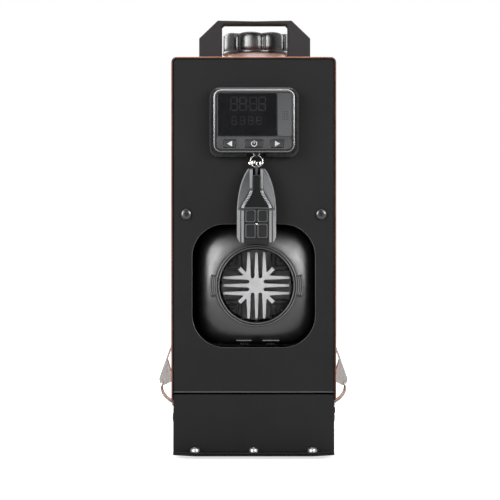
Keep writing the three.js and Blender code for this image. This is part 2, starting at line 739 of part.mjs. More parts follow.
function baseFrontCover() {
  const bottom = FLOOR_TOP + CLEARANCE;
  const faceOutline = roundedBox(-BASE_HALF, BASE_HALF, bottom, BASE_TOP, EDGE_BEVEL);
  const face = prismY(faceOutline, FRONT, FRONT + SHEET, EDGE_BEVEL, PLAIN_CORNER);
  const lip = prismZ(lipOutline(BASE_HALF, FRONT + SHEET - EDGE_BEVEL), bottom, LIP_TOP, EDGE_BEVEL);
  return cut(joined(face, lip), ...lipScrewHoles(bottom, LIP_TOP));
}

// The deck closes the base under the heater unit: an upside-down channel.
function baseDeck() {
  const outer = BASE_HALF - SHEET - CLEARANCE;
  const inner = outer - SHEET;
  const foot = DECK_TOP - DECK_FLANGE;
  const section = polygon([
    [-outer, foot], [-inner, foot], [-inner, DECK_TOP - SHEET], [inner, DECK_TOP - SHEET],
    [inner, foot], [outer, foot], [outer, DECK_TOP], [-outer, DECK_TOP],
  ]);
  return cut(
    prismY(section, BEHIND_FRONT, BEFORE_REAR),
    rodZ(EXHAUST_RADIUS + PIPE_PLAY, foot, DECK_TOP + CUT, HEATER_X - PIPE_X, FRONT + EXHAUST_Y),
    rodZ(AIR_RADIUS + PIPE_PLAY, foot, DECK_TOP + CUT, HEATER_X + PIPE_X, FRONT + AIR_Y),
  );
}

function rubberFoot(sideX, sideY) {
  const x = sideX * (HALF - FOOT_INSET_X);
  const y = sideY * (REAR - FOOT_INSET_Y);
  const top = BASE_BOTTOM - CLEARANCE;
  const profile = [[0, 0], [FOOT_RADIUS - FOOT_TAPER, 0], [FOOT_RADIUS, top], [0, top]];
  return spunZ(profile, COARSE).translate([x, y, 0]);
}

// The gland: a flange on the base's wall, a dome outside and a stub through the wall.
function powerGland() {
  const wall = BASE_HALF + CLEARANCE;
  const stub = GLAND_STUB_RADIUS - CLEARANCE;
  const inside = -2 * SHEET - CLEARANCE;
  const profile = [[0, inside], [stub, inside], [stub, 0], ...GLAND_DOME];
  return spunZ(profile, SMALL).rotate([0, 90, 0]).translate([wall, GLAND_Y, GLAND_Z]);
}

// The lead leaves the base's wall, bows outwards and goes back in below.
function leadLoop() {
  const inside = BASE_HALF - 2 * SHEET;
  const middleZ = (LEAD_LOW_Z + LEAD_HIGH_Z) / 2;
  const out = BASE_HALF + LEAD_BULGE - LEAD_RADIUS;
  const shoulder = BASE_HALF + LEAD_SHOULDER;
  return tube([
    [inside, LEAD_Y, LEAD_LOW_Z],
    [BASE_HALF, LEAD_Y, LEAD_LOW_Z],
    [shoulder, LEAD_Y, LEAD_LOW_Z + LEAD_SLOPE],
    [out, LEAD_Y, middleZ],
    [shoulder, LEAD_Y, LEAD_HIGH_Z - LEAD_SLOPE],
    [BASE_HALF, LEAD_Y, LEAD_HIGH_Z],
    [inside, LEAD_Y, LEAD_HIGH_Z],
  ], LEAD_RADIUS, 0, TINY, HOSE_STEPS);
}

// ---------------------------------------------------------------- casing and panels

function casingShell() {
  const outline = new THREE.Shape();
  outline.moveTo(-HALF, CASE_BOTTOM);
  archTo(outline, HALF, CASE_TOP, CASE_CORNER);
  outline.lineTo(HALF, CASE_BOTTOM);
  outline.lineTo(INNER_HALF, CASE_BOTTOM);
  archBack(outline, INNER_HALF, CASE_TOP - SHEET, CASE_CORNER - SHEET);
  outline.lineTo(-INNER_HALF, CASE_BOTTOM);
  const shell = prismY(outline, FRONT - RIM_PROUD, REAR + RIM_PROUD);
  const neckHole = NECK_RADIUS + SEAL_LIP - CLEARANCE;
  const hole = rodZ(neckHole, CASE_TOP - CUT, CASE_TOP + CUT, FILLER_X, FILLER_Y, FINE);
  return cut(shell, hole, sightSlot(), ...sideVents());
}

// Up the left side, across the top and down the right side's corner, with round corners.
function archTo(outline, half, top, radius) {
  outline.lineTo(-half, top - radius);
  outline.absarc(-half + radius, top - radius, radius, Math.PI, Math.PI / 2, true);
  outline.lineTo(half - radius, top);
  outline.absarc(half - radius, top - radius, radius, Math.PI / 2, 0, true);
}

// The same arch, drawn back from right to left.
function archBack(outline, half, top, radius) {
  outline.lineTo(half, top - radius);
  outline.absarc(half - radius, top - radius, radius, 0, Math.PI / 2);
  outline.lineTo(-half + radius, top);
  outline.absarc(-half + radius, top - radius, radius, Math.PI / 2, Math.PI);
}

function sightSlot() {
  const z = (SHELF_TOP + CASE_TOP) / 2;
  const shape = slot(REAR - SIGHT_SLOT_INSET, z, SIGHT_SLOT_WIDTH, SIGHT_SLOT_HEIGHT);
  return prismX(shape, -HALF - CUT, -HALF + CUT, 0, PLAIN_CORNER);
}

// A group of level slots near the rear of each side.
function sideVents() {
  const vents = [];
  for (let i = 0; i < VENT_COUNT; i += 1) {
    const z = VENT_LOWEST + i * VENT_PITCH;
    const shape = slot(REAR - VENT_INSET, z, VENT_LENGTH, VENT_HEIGHT);
    vents.push(prismX(shape, -HALF - CUT, HALF + CUT, 0, PLAIN_CORNER));
  }
  return vents;
}

// A folded panel: its face with rounded upper corners, and a flange along three edges.
function foldedPanel(outer, inner) {
  const corner = CASE_CORNER - SHEET - CLEARANCE;
  const outline = roundedBox(-PANEL_HALF, PANEL_HALF, PANEL_BOTTOM, PANEL_TOP, corner);
  const hollow = roundedBox(
    -PANEL_HALF + SHEET, PANEL_HALF - SHEET, PANEL_BOTTOM + SHEET, PANEL_TOP - SHEET, corner - SHEET,
  );
  const direction = Math.sign(inner - outer);
  const flangeEnd = inner + direction * (PANEL_FLANGE - SHEET);
  const sorted = (a, b) => [Math.min(a, b), Math.max(a, b)];
  const block = prismY(outline, ...sorted(outer, flangeEnd), EDGE_BEVEL);
  return cut(block, prismY(hollow, ...sorted(inner, flangeEnd + direction * CUT)));
}

function frontPanel() {
  const halfWidth = WINDOW_WIDTH / 2;
  const halfHeight = WINDOW_HEIGHT / 2;
  const window = roundedBox(
    -halfWidth, halfWidth, WINDOW_CENTRE_Z - halfHeight, WINDOW_CENTRE_Z + halfHeight, WINDOW_CORNER,
  );
  const holeRadius = SCREW_SHANK_RADIUS + CLEARANCE;
  const screwHoles = [-1, 1].map((side) => rodY(
    holeRadius, FRONT - CUT, FRONT + CUT, (side * PANEL_SCREW_SPACING) / 2, PANEL_SCREW_Z, SMALL,
  ));
  const leadHole = rodY(CONTROLLER_LEAD_HOLE, FRONT - CUT, FRONT + CUT, 0, CONTROLLER_MIDDLE_Z, SMALL);
  return cut(
    foldedPanel(FRONT, FRONT + SHEET),
    prismY(window, FRONT - CUT, FRONT + SHEET + CUT, 0, WINDOW_CORNER_STEPS),
    leadHole,
    ...screwHoles,
  );
}

// The rear panel has a round field of upright slots, the cabin air's way in.
function rearPanel() {
  const slots = [];
  const reach = Math.floor(INLET_FIELD_RADIUS / INLET_SLOT_PITCH);
  for (let i = -reach; i <= reach; i += 1) {
    const x = i * INLET_SLOT_PITCH;
    const length = 2 * Math.sqrt(INLET_FIELD_RADIUS ** 2 - x ** 2);
    const shape = slot(HEATER_X + x, HEATER_Z, INLET_SLOT_WIDTH, length);
    slots.push(prismY(shape, REAR - CUT, REAR + CUT, 0, PLAIN_CORNER));
  }
  return cut(foldedPanel(REAR, REAR - SHEET), ...slots);
}

// ---------------------------------------------------------------- carry handle

function carryHandle() {
  const foot = CASE_TOP + CLEARANCE;
  const top = CASE_TOP + HANDLE_HEIGHT;
  const shoulder = CASE_TOP + HANDLE_SHOULDER;
  const half = HANDLE_WIDTH / 2;
  const halfTop = HANDLE_TOP_WIDTH / 2;
  const inside = half - HANDLE_LEG;
  const underside = top - HANDLE_BAR;
  const outline = polygon([
    [-half, foot], [-half, shoulder], [-halfTop, top], [0, top - HANDLE_SAG], [halfTop, top],
    [half, shoulder], [half, foot], [inside, foot], [inside, underside - HANDLE_INNER_CORNER],
    [inside - HANDLE_INNER_CORNER, underside], [-inside + HANDLE_INNER_CORNER, underside],
    [-inside, underside - HANDLE_INNER_CORNER], [-inside, foot],
  ]);
  const [front, rear] = [HANDLE_Y - HANDLE_THICKNESS / 2, HANDLE_Y + HANDLE_THICKNESS / 2];
  return prismY(outline, front, rear, HANDLE_BEVEL).translate([HANDLE_X, 0, 0]);
}

// ---------------------------------------------------------------- tank, filler and cap

// The shelf spans the casing; its front flange takes the two panel screws.
function tankShelf() {
  const flangeTop = SHELF_TOP + SHELF_FLANGE;
  const section = polygon([
    [-PANEL_HALF + SHEET + CLEARANCE, SHELF_BOTTOM], [PANEL_HALF - SHEET - CLEARANCE, SHELF_BOTTOM],
    [PANEL_HALF - SHEET - CLEARANCE, flangeTop], [PANEL_HALF - 2 * SHEET - CLEARANCE, flangeTop],
    [PANEL_HALF - 2 * SHEET - CLEARANCE, SHELF_TOP], [-PANEL_HALF + 2 * SHEET + CLEARANCE, SHELF_TOP],
    [-PANEL_HALF + 2 * SHEET + CLEARANCE, flangeTop], [-PANEL_HALF + SHEET + CLEARANCE, flangeTop],
  ]);
  const half = PANEL_HALF - SHEET - CLEARANCE;
  const flange = box([-half, half], [BEHIND_FRONT, BEHIND_FRONT + SHEET],
    [SHELF_TOP - SHELF_FLANGE, SHELF_TOP]);
  const holes = [-1, 1].map((side) => rodY(
    SCREW_SHANK_RADIUS + CLEARANCE, FRONT, FRONT + 2 * CUT,
    (side * PANEL_SCREW_SPACING) / 2, PANEL_SCREW_Z, SMALL,
  ));
  const spoutHole = rodZ(
    SPOUT_RADIUS + CLEARANCE, SHELF_BOTTOM - CUT, SHELF_TOP + CUT, SPOUT_X, SPOUT_Y, COARSE,
  );
  return cut(joined(prismY(section, BEHIND_FRONT, BEFORE_REAR), flange), spoutHole, ...holes);
}

function fuelTank() {
  const outer = roundedBox(-TANK_HALF, TANK_HALF, TANK_BOTTOM, TANK_TOP, TANK_ROUND * 2);
  const inner = roundedBox(
    -TANK_HALF + TANK_WALL, TANK_HALF - TANK_WALL, TANK_BOTTOM + TANK_WALL, TANK_TOP - TANK_WALL,
    TANK_ROUND,
  );
  const block = prismY(outer, TANK_FRONT, TANK_REAR, TANK_ROUND);
  const neck = rodZ(NECK_RADIUS, TANK_TOP - TANK_WALL, NECK_TOP, FILLER_X, FILLER_Y, FINE);
  const spout = rodZ(SPOUT_RADIUS, SHELF_BOTTOM - SPOUT_DROP, TANK_BOTTOM + TANK_WALL, SPOUT_X,
    SPOUT_Y, SMALL);
  return cut(
    joined(block, neck, spout),
    prismY(inner, TANK_FRONT + TANK_WALL, TANK_REAR - TANK_WALL),
    rodZ(NECK_RADIUS - NECK_WALL, TANK_TOP - 2 * TANK_WALL, NECK_TOP + CUT, FILLER_X, FILLER_Y, FINE),
    rodZ(SPOUT_RADIUS / 2, SHELF_BOTTOM - SPOUT_DROP - CUT, TANK_BOTTOM + 2 * TANK_WALL, SPOUT_X,
      SPOUT_Y, SMALL),
  );
}

// A rubber ring with a groove that grips the edge of the casing's hole.
function neckSeal() {
  const inside = NECK_RADIUS + CLEARANCE;
  const groove = NECK_RADIUS + SEAL_LIP - 2 * CLEARANCE;
  const outside = groove + SEAL_FLANGE;
  const [sheetBottom, sheetTop] = [CASE_TOP - SHEET - CLEARANCE, CASE_TOP + CLEARANCE];
  const profile = [
    [inside, sheetBottom - SEAL_THICKNESS], [outside, sheetBottom - SEAL_THICKNESS],
    [outside, sheetBottom], [groove, sheetBottom], [groove, sheetTop], [outside, sheetTop],
    [outside - SEAL_CHAMFER, sheetTop + SEAL_THICKNESS], [inside, sheetTop + SEAL_THICKNESS],
  ];
  return spunZ(profile, FINE).translate([FILLER_X, FILLER_Y, 0]);
}

// The cap's outline: eight lobes between shallow round grooves.
function capOutline() {
  const points = [];
  const steps = CAP_LOBES * CAP_STEPS_PER_LOBE;
  for (let i = 0; i < steps; i += 1) {
    const angle = (2 * Math.PI * i) / steps;
    const wave = Math.abs(Math.cos((CAP_LOBES / 2) * (angle - radians(CAP_PHASE))));
    const nearGroove = wave ** CAP_GROOVE_SHARPNESS;
    const radius = CAP_RADIUS - CAP_GROOVE * nearGroove;
    points.push([radius * Math.cos(angle), radius * Math.sin(angle)]);
  }
  return polygon(points);
}

function fuelCap() {
  const grip = prismZ(capOutline(), CAP_BOTTOM + CAP_RING_HEIGHT - CAP_WALL, CAP_TOP, CAP_BEVEL);
  const skirt = rodZ(CAP_RING_RADIUS, CAP_BOTTOM, CAP_BOTTOM + CAP_RING_HEIGHT, 0, 0, FINE);
  const vent = rodZ(CAP_VENT_RADIUS, CAP_TOP - CAP_WALL, CAP_TOP + CAP_VENT_HEIGHT, 0, 0, COARSE);
  const hollow = rodZ(NECK_RADIUS + CLEARANCE, CAP_BOTTOM - CUT, CAP_TOP - CAP_WALL, 0, 0, FINE);
  return cut(joined(grip, skirt, vent), hollow).translate([FILLER_X, FILLER_Y, 0]);
}

function capGasket() {
  const bottom = NECK_TOP + CLEARANCE;
  return rodZ(NECK_RADIUS - CLEARANCE, bottom, bottom + GASKET_THICKNESS, FILLER_X, FILLER_Y, MEDIUM);
}

// ---------------------------------------------------------------- heater unit
// Everything here is drawn about the unit's axis, with y = 0 at the front panel's outer face.

// The shell's cross-section: a soft square, softer with a higher power.
function softSquare(halfWidth, halfHeight, power, y) {
  const points = [];
  for (let i = 0; i < SOFT_SQUARE_STEPS; i += 1) {
    const angle = (2 * Math.PI * i) / SOFT_SQUARE_STEPS;
    const [c, s] = [Math.cos(angle), Math.sin(angle)];
    const x = halfWidth * Math.sign(c) * Math.abs(c) ** (2 / power);
    const z = halfHeight * Math.sign(s) * Math.abs(s) ** (2 / power);
    points.push([x, y, z]);
  }
  return points;
}

function shellTube(inset, y0, y1) {
  const ends = [y0, y1];
  return loft(ends.map((y) => softSquare(
    SHELL_HALF_WIDTH - inset, SHELL_HALF_HEIGHT - inset, SHELL_SOFTNESS, y,
  )));
}

function halfShell(side) {
  const tubeWall = cut(
    shellTube(0, SHELL_FRONT, SHELL_REAR),
    shellTube(SHELL_WALL, SHELL_FRONT - CUT, SHELL_REAR + CUT),
  );
  const far = SHELL_HALF_HEIGHT + CUT;
  const zRange = side > 0 ? [CLEARANCE / 2, far] : [-far, -CLEARANCE / 2];
  const keep = box([-far, far], [SHELL_FRONT, SHELL_REAR], zRange);
  return tubeWall.intersect(keep);
}

function lowerShell() {
  return cut(
    halfShell(-1),
    rodZ(EXHAUST_RADIUS + CLEARANCE, -SHELL_HALF_HEIGHT - CUT, 0, -PIPE_X, EXHAUST_Y),
    rodZ(AIR_RADIUS + CLEARANCE, -SHELL_HALF_HEIGHT - CUT, 0, PIPE_X, AIR_Y),
    rodZ(FEED_RADIUS + CLEARANCE, -SHELL_HALF_HEIGHT - CUT, 0, FEED_X, FEED_Y, SMALL),
  );
}

// The black front shell domes from the unit's soft square down to the round outlet.
function frontShell() {
  const bodyEnd = SHELL_FRONT - CLEARANCE;
  const depth = bodyEnd - NOSE_GAP;
  const rings = (inset) => FRONT_SHELL_STEPS.map(([along, share, power]) => softSquare(
    (SHELL_HALF_WIDTH - inset) * share, (SHELL_HALF_HEIGHT - inset) * share, power,
    NOSE_GAP + along * depth + (along < 1 ? inset : Math.sign(inset) * CUT),
  ));
  return cut(
    loft(rings(0)),
    loft(rings(SHELL_WALL)),
    rodY(OUTLET_RADIUS + CLEARANCE, -CUT, SHELL_FRONT, 0, 0, FINE),
  );
}

// The outlet duct: a thin ring with a turned lip in front and a bayonet lug on each side.
function outletRing() {
  const front = NOSE_GAP - OUTLET_LIP - CLEARANCE;
  const rear = NOSE_GAP + OUTLET_DEPTH;
  const inner = OUTLET_RADIUS - OUTLET_WALL;
  const lip = OUTLET_RADIUS + OUTLET_LIP_PROUD;
  const profile = [
    [inner, front + OUTLET_CHAMFER], [inner + OUTLET_CHAMFER, front],
    [lip - OUTLET_CHAMFER, front], [lip, front + OUTLET_CHAMFER],
    [lip, front + OUTLET_LIP], [OUTLET_RADIUS, front + OUTLET_LIP], [OUTLET_RADIUS, rear],
    [inner, rear],
  ];
  const duct = spunY(profile, FINE);
  const [root, tip] = [OUTLET_RADIUS - OUTLET_WALL / 2, OUTLET_RADIUS + LUG_REACH];
  const lugs = [[-tip, -root], [root, tip]].map((across) => box(
    across, [front, front + OUTLET_LIP], [-LUG_HALF_HEIGHT, LUG_HALF_HEIGHT],
  ));
  return joined(duct, ...lugs);
}

// One finger of the star: a bar that widens towards the hub, at an offset from the centre line.
function finger(offset, reach, tipWidth, rootWidth, degrees) {
  const outline = polygon([
    [-rootWidth / 2 + offset, 0], [rootWidth / 2 + offset, 0],
    [tipWidth / 2 + offset, reach], [-tipWidth / 2 + offset, reach],
  ]);
  return turnedY(prismY(outline, STAR_DEPTH, STAR_DEPTH + STAR_LENGTH), degrees);
}

function star() {
  const pieces = [rodY(STAR_HUB, STAR_DEPTH, STAR_DEPTH + STAR_LENGTH, 0, 0, SMALL)];
  for (let quarter = 0; quarter < 4; quarter += 1) {
    const degrees = quarter * 90;
    for (const offset of [-STAR_PITCH, 0, STAR_PITCH]) {
      pieces.push(finger(offset, STAR_REACH, STAR_TIP, STAR_ROOT, degrees));
    }
    const diagonal = STAR_DIAGONAL_WIDTH;
    pieces.push(finger(0, STAR_DIAGONAL, diagonal, diagonal, degrees + 45));
  }
  return joined(...pieces);
}

// The die-cast heat exchanger: the star's fingers run back into a finned drum, open at the rear.
function heatExchanger() {
  const coreFront = STAR_DEPTH + STAR_LENGTH - STAR_ROOT_DEPTH;
  const drum = rodY(CORE_RADIUS, coreFront, CORE_REAR, 0, 0, MEDIUM);
  const fins = [];
  for (let i = 0; i < FIN_COUNT; i += 1) {
    const half = FIN_THICKNESS / 2;
    const outline = polygon([
      [-half, CORE_RADIUS - FIN_ROOT], [half, CORE_RADIUS - FIN_ROOT],
      [half, FIN_REACH], [-half, FIN_REACH],
    ]);
    const fin = prismY(outline, coreFront + FIN_FRONT_GAP, CORE_REAR - FIN_REAR_GAP);
    fins.push(turnedY(fin, (360 * i) / FIN_COUNT));
  }
  const flange = loft([CORE_REAR, CORE_REAR + FLANGE_THICKNESS].map((y) => softSquare(
    SHELL_HALF_WIDTH - SHELL_WALL - CLEARANCE, SHELL_HALF_HEIGHT - SHELL_WALL - CLEARANCE,
    SHELL_SOFTNESS, y,
  )));
  const port = rodZ(EXHAUST_RADIUS, -SHELL_HALF_HEIGHT - PORT_DROP, -CORE_RADIUS / 3, -PIPE_X,
    EXHAUST_Y, COARSE);
  const portBore = rodZ(EXHAUST_RADIUS - PORT_WALL, -SHELL_HALF_HEIGHT - PORT_DROP - CUT, 0,
    -PIPE_X, EXHAUST_Y, COARSE);
  const bore = rodY(CORE_RADIUS - CORE_WALL, coreFront + CORE_WALL,
    CORE_REAR + CUT + FLANGE_THICKNESS, 0, 0, MEDIUM);
  return cut(joined(drum, star(), ...fins, flange, port), bore, portBore);
}

// The burner tube hangs in the drum. Its flange, behind the drum's, carries the air cup.
function burnerTube() {
  const front = BURNER_FLANGE - BURNER_LENGTH;
  const inner = BURNER_RADIUS - BURNER_WALL;
  const cupInner = CUP_RADIUS - BURNER_WALL;
  const tubeWall = spunY([[inner, front], [BURNER_RADIUS, front], [BURNER_RADIUS, CUP_FRONT],
    [inner, CUP_FRONT]]);
  const flange = spunY([[inner, BURNER_FLANGE], [CUP_RADIUS, BURNER_FLANGE],
    [CUP_RADIUS, CUP_FRONT], [inner, CUP_FRONT]]);
  const cupInside = rodY(cupInner, CUP_FRONT, CUP_REAR + CUT, 0, 0, MEDIUM);
  const airPort = rodZ(AIR_RADIUS, -SHELL_HALF_HEIGHT - PORT_DROP, -CORE_RADIUS / 3, PIPE_X, AIR_Y,
    MEDIUM);
  const airBore = rodZ(AIR_RADIUS - PORT_WALL, -SHELL_HALF_HEIGHT - PORT_DROP - CUT, 0, PIPE_X, AIR_Y,
    COARSE);
  const stubTop = FEED_STUB_DROP / 2;
  const feedStub = joined(
    rodX(SPIGOT_RADIUS, cupInner - CUT, FEED_X, FEED_Y, -stubTop, SMALL),
    rodZ(SPIGOT_RADIUS, -FEED_STUB_DROP, -stubTop + SPIGOT_RADIUS, FEED_X, FEED_Y, SMALL),
  );
  const cup = cut(
    joined(rodY(CUP_RADIUS, CUP_FRONT - CUP_OVERLAP, CUP_REAR, 0, 0, MEDIUM), airPort, feedStub),
    cupInside,
    rodY(inner, CUP_FRONT - CUT, CUP_REAR, 0, 0, MEDIUM),
  );
  const plugHole = rodZ(PLUG_RADIUS + CLEARANCE, 0, CORE_RADIUS + 2 * CUT, 0, plugY(), SMALL);
  return cut(joined(tubeWall, flange, cup), plugHole, airBore);
}

function plugY() {
  return CUP_FRONT + PLUG_RADIUS + PLUG_INSET;
}

function glowPlug() {
  const bottom = BURNER_RADIUS - BURNER_WALL;
  const nutBottom = CUP_RADIUS + CLEARANCE;
  const nutTop = nutBottom + PLUG_NUT_HEIGHT;
  return joined(
    rodZ(PLUG_RADIUS, bottom, nutBottom + PLUG_SINK, 0, plugY(), SMALL),
    rodZ(PLUG_NUT_RADIUS, nutBottom, nutTop, 0, plugY(), HEX),
    rodZ(PLUG_TERMINAL_RADIUS, nutTop - PLUG_SINK, nutTop + PLUG_TERMINAL_HEIGHT, 0, plugY(), TINY),
  );
}

// The motor's can, on a plate that fills the shell; its bore takes the shaft.
function blowerMotor() {
  const can = rodY(MOTOR_RADIUS, MOTOR_FRONT, MOTOR_FRONT + MOTOR_LENGTH, 0, 0, MEDIUM);
  const along = [MOTOR_FRONT, MOTOR_FRONT + SPOKE_THICKNESS];
  const width = [-SPOKE_HALF_WIDTH, SPOKE_HALF_WIDTH];
  const spokes = [
    box([-SHELL_HALF_WIDTH, SHELL_HALF_WIDTH], along, width),
    box(width, along, [-SHELL_HALF_HEIGHT, SHELL_HALF_HEIGHT]),
  ];
  const limit = shellTube(SHELL_WALL + CLEARANCE, ...along);
  const carrier = joined(...spokes).intersect(limit);
  const bore = rodY(SHAFT_RADIUS + CLEARANCE, MOTOR_FRONT - CUT, FAN_FRONT, 0, 0, SMALL);
  return cut(joined(can, carrier), bore);
}

// One flat blade from the hub to the rim, pitched about its own length.
function blade(index, count, hubRadius, rimRadius, front, length, pitch) {
  const slope = radians(pitch);
  const chord = (length - BLADE_THICKNESS * Math.sin(slope)) / Math.cos(slope);
  const halfThickness = BLADE_THICKNESS / 2;
  const flat = box([hubRadius, rimRadius], [-chord / 2, chord / 2], [-halfThickness, halfThickness]);
  const pitched = flat.rotate([pitch, 0, 0]).translate([0, front + length / 2, 0]);
  return turnedY(pitched, (360 * index) / count);
}

// The fan's hub carries the shaft, which runs forward through the motor to the burner's impeller.
function fanWheel() {
  const rear = FAN_FRONT + FAN_LENGTH;
  const nose = MOTOR_FRONT - IMPELLER_GAP - IMPELLER_LENGTH - SHAFT_NOSE;
  const hub = rodY(FAN_HUB_RADIUS, FAN_FRONT, rear, 0, 0, COARSE);
  const shaft = rodY(SHAFT_RADIUS, nose, FAN_FRONT + BLADE_ROOT, 0, 0, SMALL);
  const root = FAN_HUB_RADIUS - BLADE_ROOT;
  const blades = [];
  for (let i = 0; i < FAN_BLADES; i += 1) {
    blades.push(blade(i, FAN_BLADES, root, FAN_RADIUS, FAN_FRONT, FAN_LENGTH, FAN_PITCH));
  }
  return joined(hub, shaft, ...blades);
}

function burnerImpeller() {
  const rear = MOTOR_FRONT - IMPELLER_GAP;
  const front = rear - IMPELLER_LENGTH;
  const disc = rodY(IMPELLER_RADIUS, rear - IMPELLER_DISC, rear, 0, 0, MEDIUM);
  const hub = rodY(IMPELLER_HUB_RADIUS, front, rear, 0, 0, SMALL);
  const length = IMPELLER_LENGTH - IMPELLER_DISC / 2;
  const outer = IMPELLER_RADIUS - IMPELLER_RIM;
  const blades = [];
  for (let i = 0; i < IMPELLER_BLADES; i += 1) {
    blades.push(blade(i, IMPELLER_BLADES, IMPELLER_EYE, outer, front, length, 0));
  }
  const bore = rodY(SHAFT_RADIUS + CLEARANCE, front - CUT, front + 2 * CUT, 0, 0, SMALL);
  return cut(joined(disc, hub, ...blades), bore);
}

// The board hangs from the upper shell on four posts.
function controlBoard() {
  const y0 = MOTOR_FRONT + SPOKE_THICKNESS + CLEARANCE;
  const board = box([-BOARD_WIDTH / 2, BOARD_WIDTH / 2], [y0, y0 + BOARD_LENGTH],
    [BOARD_HEIGHT, BOARD_HEIGHT + BOARD_THICKNESS]);
  const ceiling = SHELL_HALF_HEIGHT - SHELL_WALL - CLEARANCE;
  const posts = [];
  for (const side of [-1, 1]) {
    const x = side * (BOARD_WIDTH / 2 - POST_INSET_X);
    for (const y of [y0 + POST_INSET_Y, y0 + BOARD_LENGTH - POST_INSET_Y]) {
      posts.push(rodZ(POST_RADIUS, BOARD_HEIGHT, ceiling, x, y, TINY));
    }
  }
  const room = shellTube(SHELL_WALL + CLEARANCE, y0, y0 + 2 * BOARD_LENGTH);
  return joined(board, ...posts).intersect(room);
}

// The rear cowl narrows to a round mouth crossed by guard bars.
function inletCowl() {
  const front = SHELL_REAR + CLEARANCE;
  const rear = front + COWL_LENGTH;
  const rings = (inset, overrun) => COWL_STEPS.map(([along, share, power]) => softSquare(
    (SHELL_HALF_WIDTH - inset) * share, (SHELL_HALF_HEIGHT - inset) * share, power,
    front + along * COWL_LENGTH - (along > 0 ? inset : overrun),
  ));
  const openings = [];
  const reach = Math.floor(COWL_MOUTH / COWL_SLOT_PITCH);
  for (let i = -reach; i <= reach; i += 1) {
    const x = i * COWL_SLOT_PITCH;
    const length = 2 * Math.sqrt(COWL_MOUTH ** 2 - x ** 2);
    openings.push(box([x - COWL_SLOT_WIDTH / 2, x + COWL_SLOT_WIDTH / 2],
      [rear - 2 * CUT, rear + CUT], [-length / 2, length / 2]));
  }
  return cut(loft(rings(0, 0)), loft(rings(SHELL_WALL, CUT)), ...openings);
}

// ---------------------------------------------------------------- cradle, pipes and fuel line

// The cradle stands on the deck and carries the heater unit.
function heaterCradle() {
  const bottom = DECK_TOP + CLEARANCE;
  const top = HEATER_Z - SHELL_HALF_HEIGHT - CLEARANCE;
  const outer = CRADLE_WIDTH / 2;
  const inner = outer - CRADLE_SHEET;
  const section = polygon([
    [-outer, bottom], [-inner, bottom], [-inner, top - CRADLE_SHEET], [inner, top - CRADLE_SHEET],
    [inner, bottom], [outer, bottom], [outer, top], [-outer, top],
  ]);
  const y0 = FRONT + SHELL_FRONT + CRADLE_INSET;
  const y1 = FRONT + SHELL_REAR - CRADLE_INSET;
  return cut(
    prismY(section, y0, y1),
    rodZ(EXHAUST_RADIUS + PIPE_PLAY, top - CUT, top + CUT, -PIPE_X, FRONT + EXHAUST_Y),
    rodZ(AIR_RADIUS + PIPE_PLAY, top - CUT, top + CUT, PIPE_X, FRONT + AIR_Y),
  ).translate([HEATER_X, 0, 0]);
}

// A pipe that drops from the unit's port, bends under the deck and leaves through the rear wall.
function portPipe(x, portY, radius, wall) {
  const top = HEATER_Z - SHELL_HALF_HEIGHT - PORT_DROP - CLEARANCE;
  const bend = [];
  for (const degrees of [0, 30, 60, 90]) {
    const angle = radians(degrees);
    const [back, up] = [PIPE_BEND * (1 - Math.cos(angle)), PIPE_BEND * (1 - Math.sin(angle))];
    bend.push([x, portY + back, PIPE_Z + up]);
  }
  return tube([
    [x, portY, top], [x, portY, top - PIPE_LEAD_IN],
    [x, portY, PIPE_Z + PIPE_BEND + PIPE_LEAD_IN], ...bend,
    [x, portY + PIPE_BEND + PIPE_LEAD_OUT, PIPE_Z], [x, REAR - 2 * PIPE_BEND, PIPE_Z],
    [x, REAR + PIPE_STUB, PIPE_Z],
  ], radius, radius - wall, SMALL, PIPE_STEPS);
}

// A metering pump on its rubber saddle, with a spigot at each end.
function fuelPump() {
  const rear = PUMP_FRONT + PUMP_LENGTH;
  const saddle = box(
    [FUEL_X - SADDLE_HALF_WIDTH, FUEL_X + SADDLE_HALF_WIDTH],
    [PUMP_FRONT + SADDLE_INSET, rear - SADDLE_INSET],
    [DECK_TOP + CLEARANCE, FUEL_Z - SADDLE_TOP],
  );
  const can = rodY(PUMP_RADIUS, PUMP_FRONT, rear, FUEL_X, FUEL_Z, COARSE);
  const spigots = rodY(SPIGOT_RADIUS, PUMP_FRONT - SPIGOT_LENGTH, rear + SPIGOT_LENGTH, FUEL_X,
    FUEL_Z, SMALL);
  return joined(can, saddle, spigots);
}

function fuelFilter() {
  const front = filterFront();
  const rear = front + FILTER_LENGTH;
  return joined(
    rodY(FILTER_RADIUS, front, rear, FUEL_X, FUEL_Z, COARSE),
    rodY(SPIGOT_RADIUS, front - SPIGOT_LENGTH, rear + SPIGOT_LENGTH, FUEL_X, FUEL_Z, SMALL),
  );
}

function filterFront() {
  return PUMP_FRONT + PUMP_LENGTH + 2 * SPIGOT_LENGTH + 2 * CLEARANCE + LINK_LENGTH;
}

function suctionHose() {
  const top = SHELF_BOTTOM - SPOUT_DROP - CLEARANCE;
  const front = filterFront() + FILTER_LENGTH + SPIGOT_LENGTH + CLEARANCE;
  const bend = SUCTION_BEND.map(([x, y, z]) => [FUEL_X + x, SPOUT_Y + y, FUEL_Z + z]);
  return tube([
    [SPOUT_X, SPOUT_Y, top], [SPOUT_X, SPOUT_Y, top - HOSE_END],
    [SPOUT_X, SPOUT_Y, FUEL_Z + SUCTION_RISE], ...bend,
    [FUEL_X, front + HOSE_END, FUEL_Z], [FUEL_X, front, FUEL_Z],
  ], FEED_RADIUS, 0, TINY, HOSE_STEPS);
}

function linkHose() {
  const front = PUMP_FRONT + PUMP_LENGTH + SPIGOT_LENGTH + CLEARANCE;
  return rodY(FEED_RADIUS, front, front + LINK_LENGTH, FUEL_X, FUEL_Z, SMALL);
}

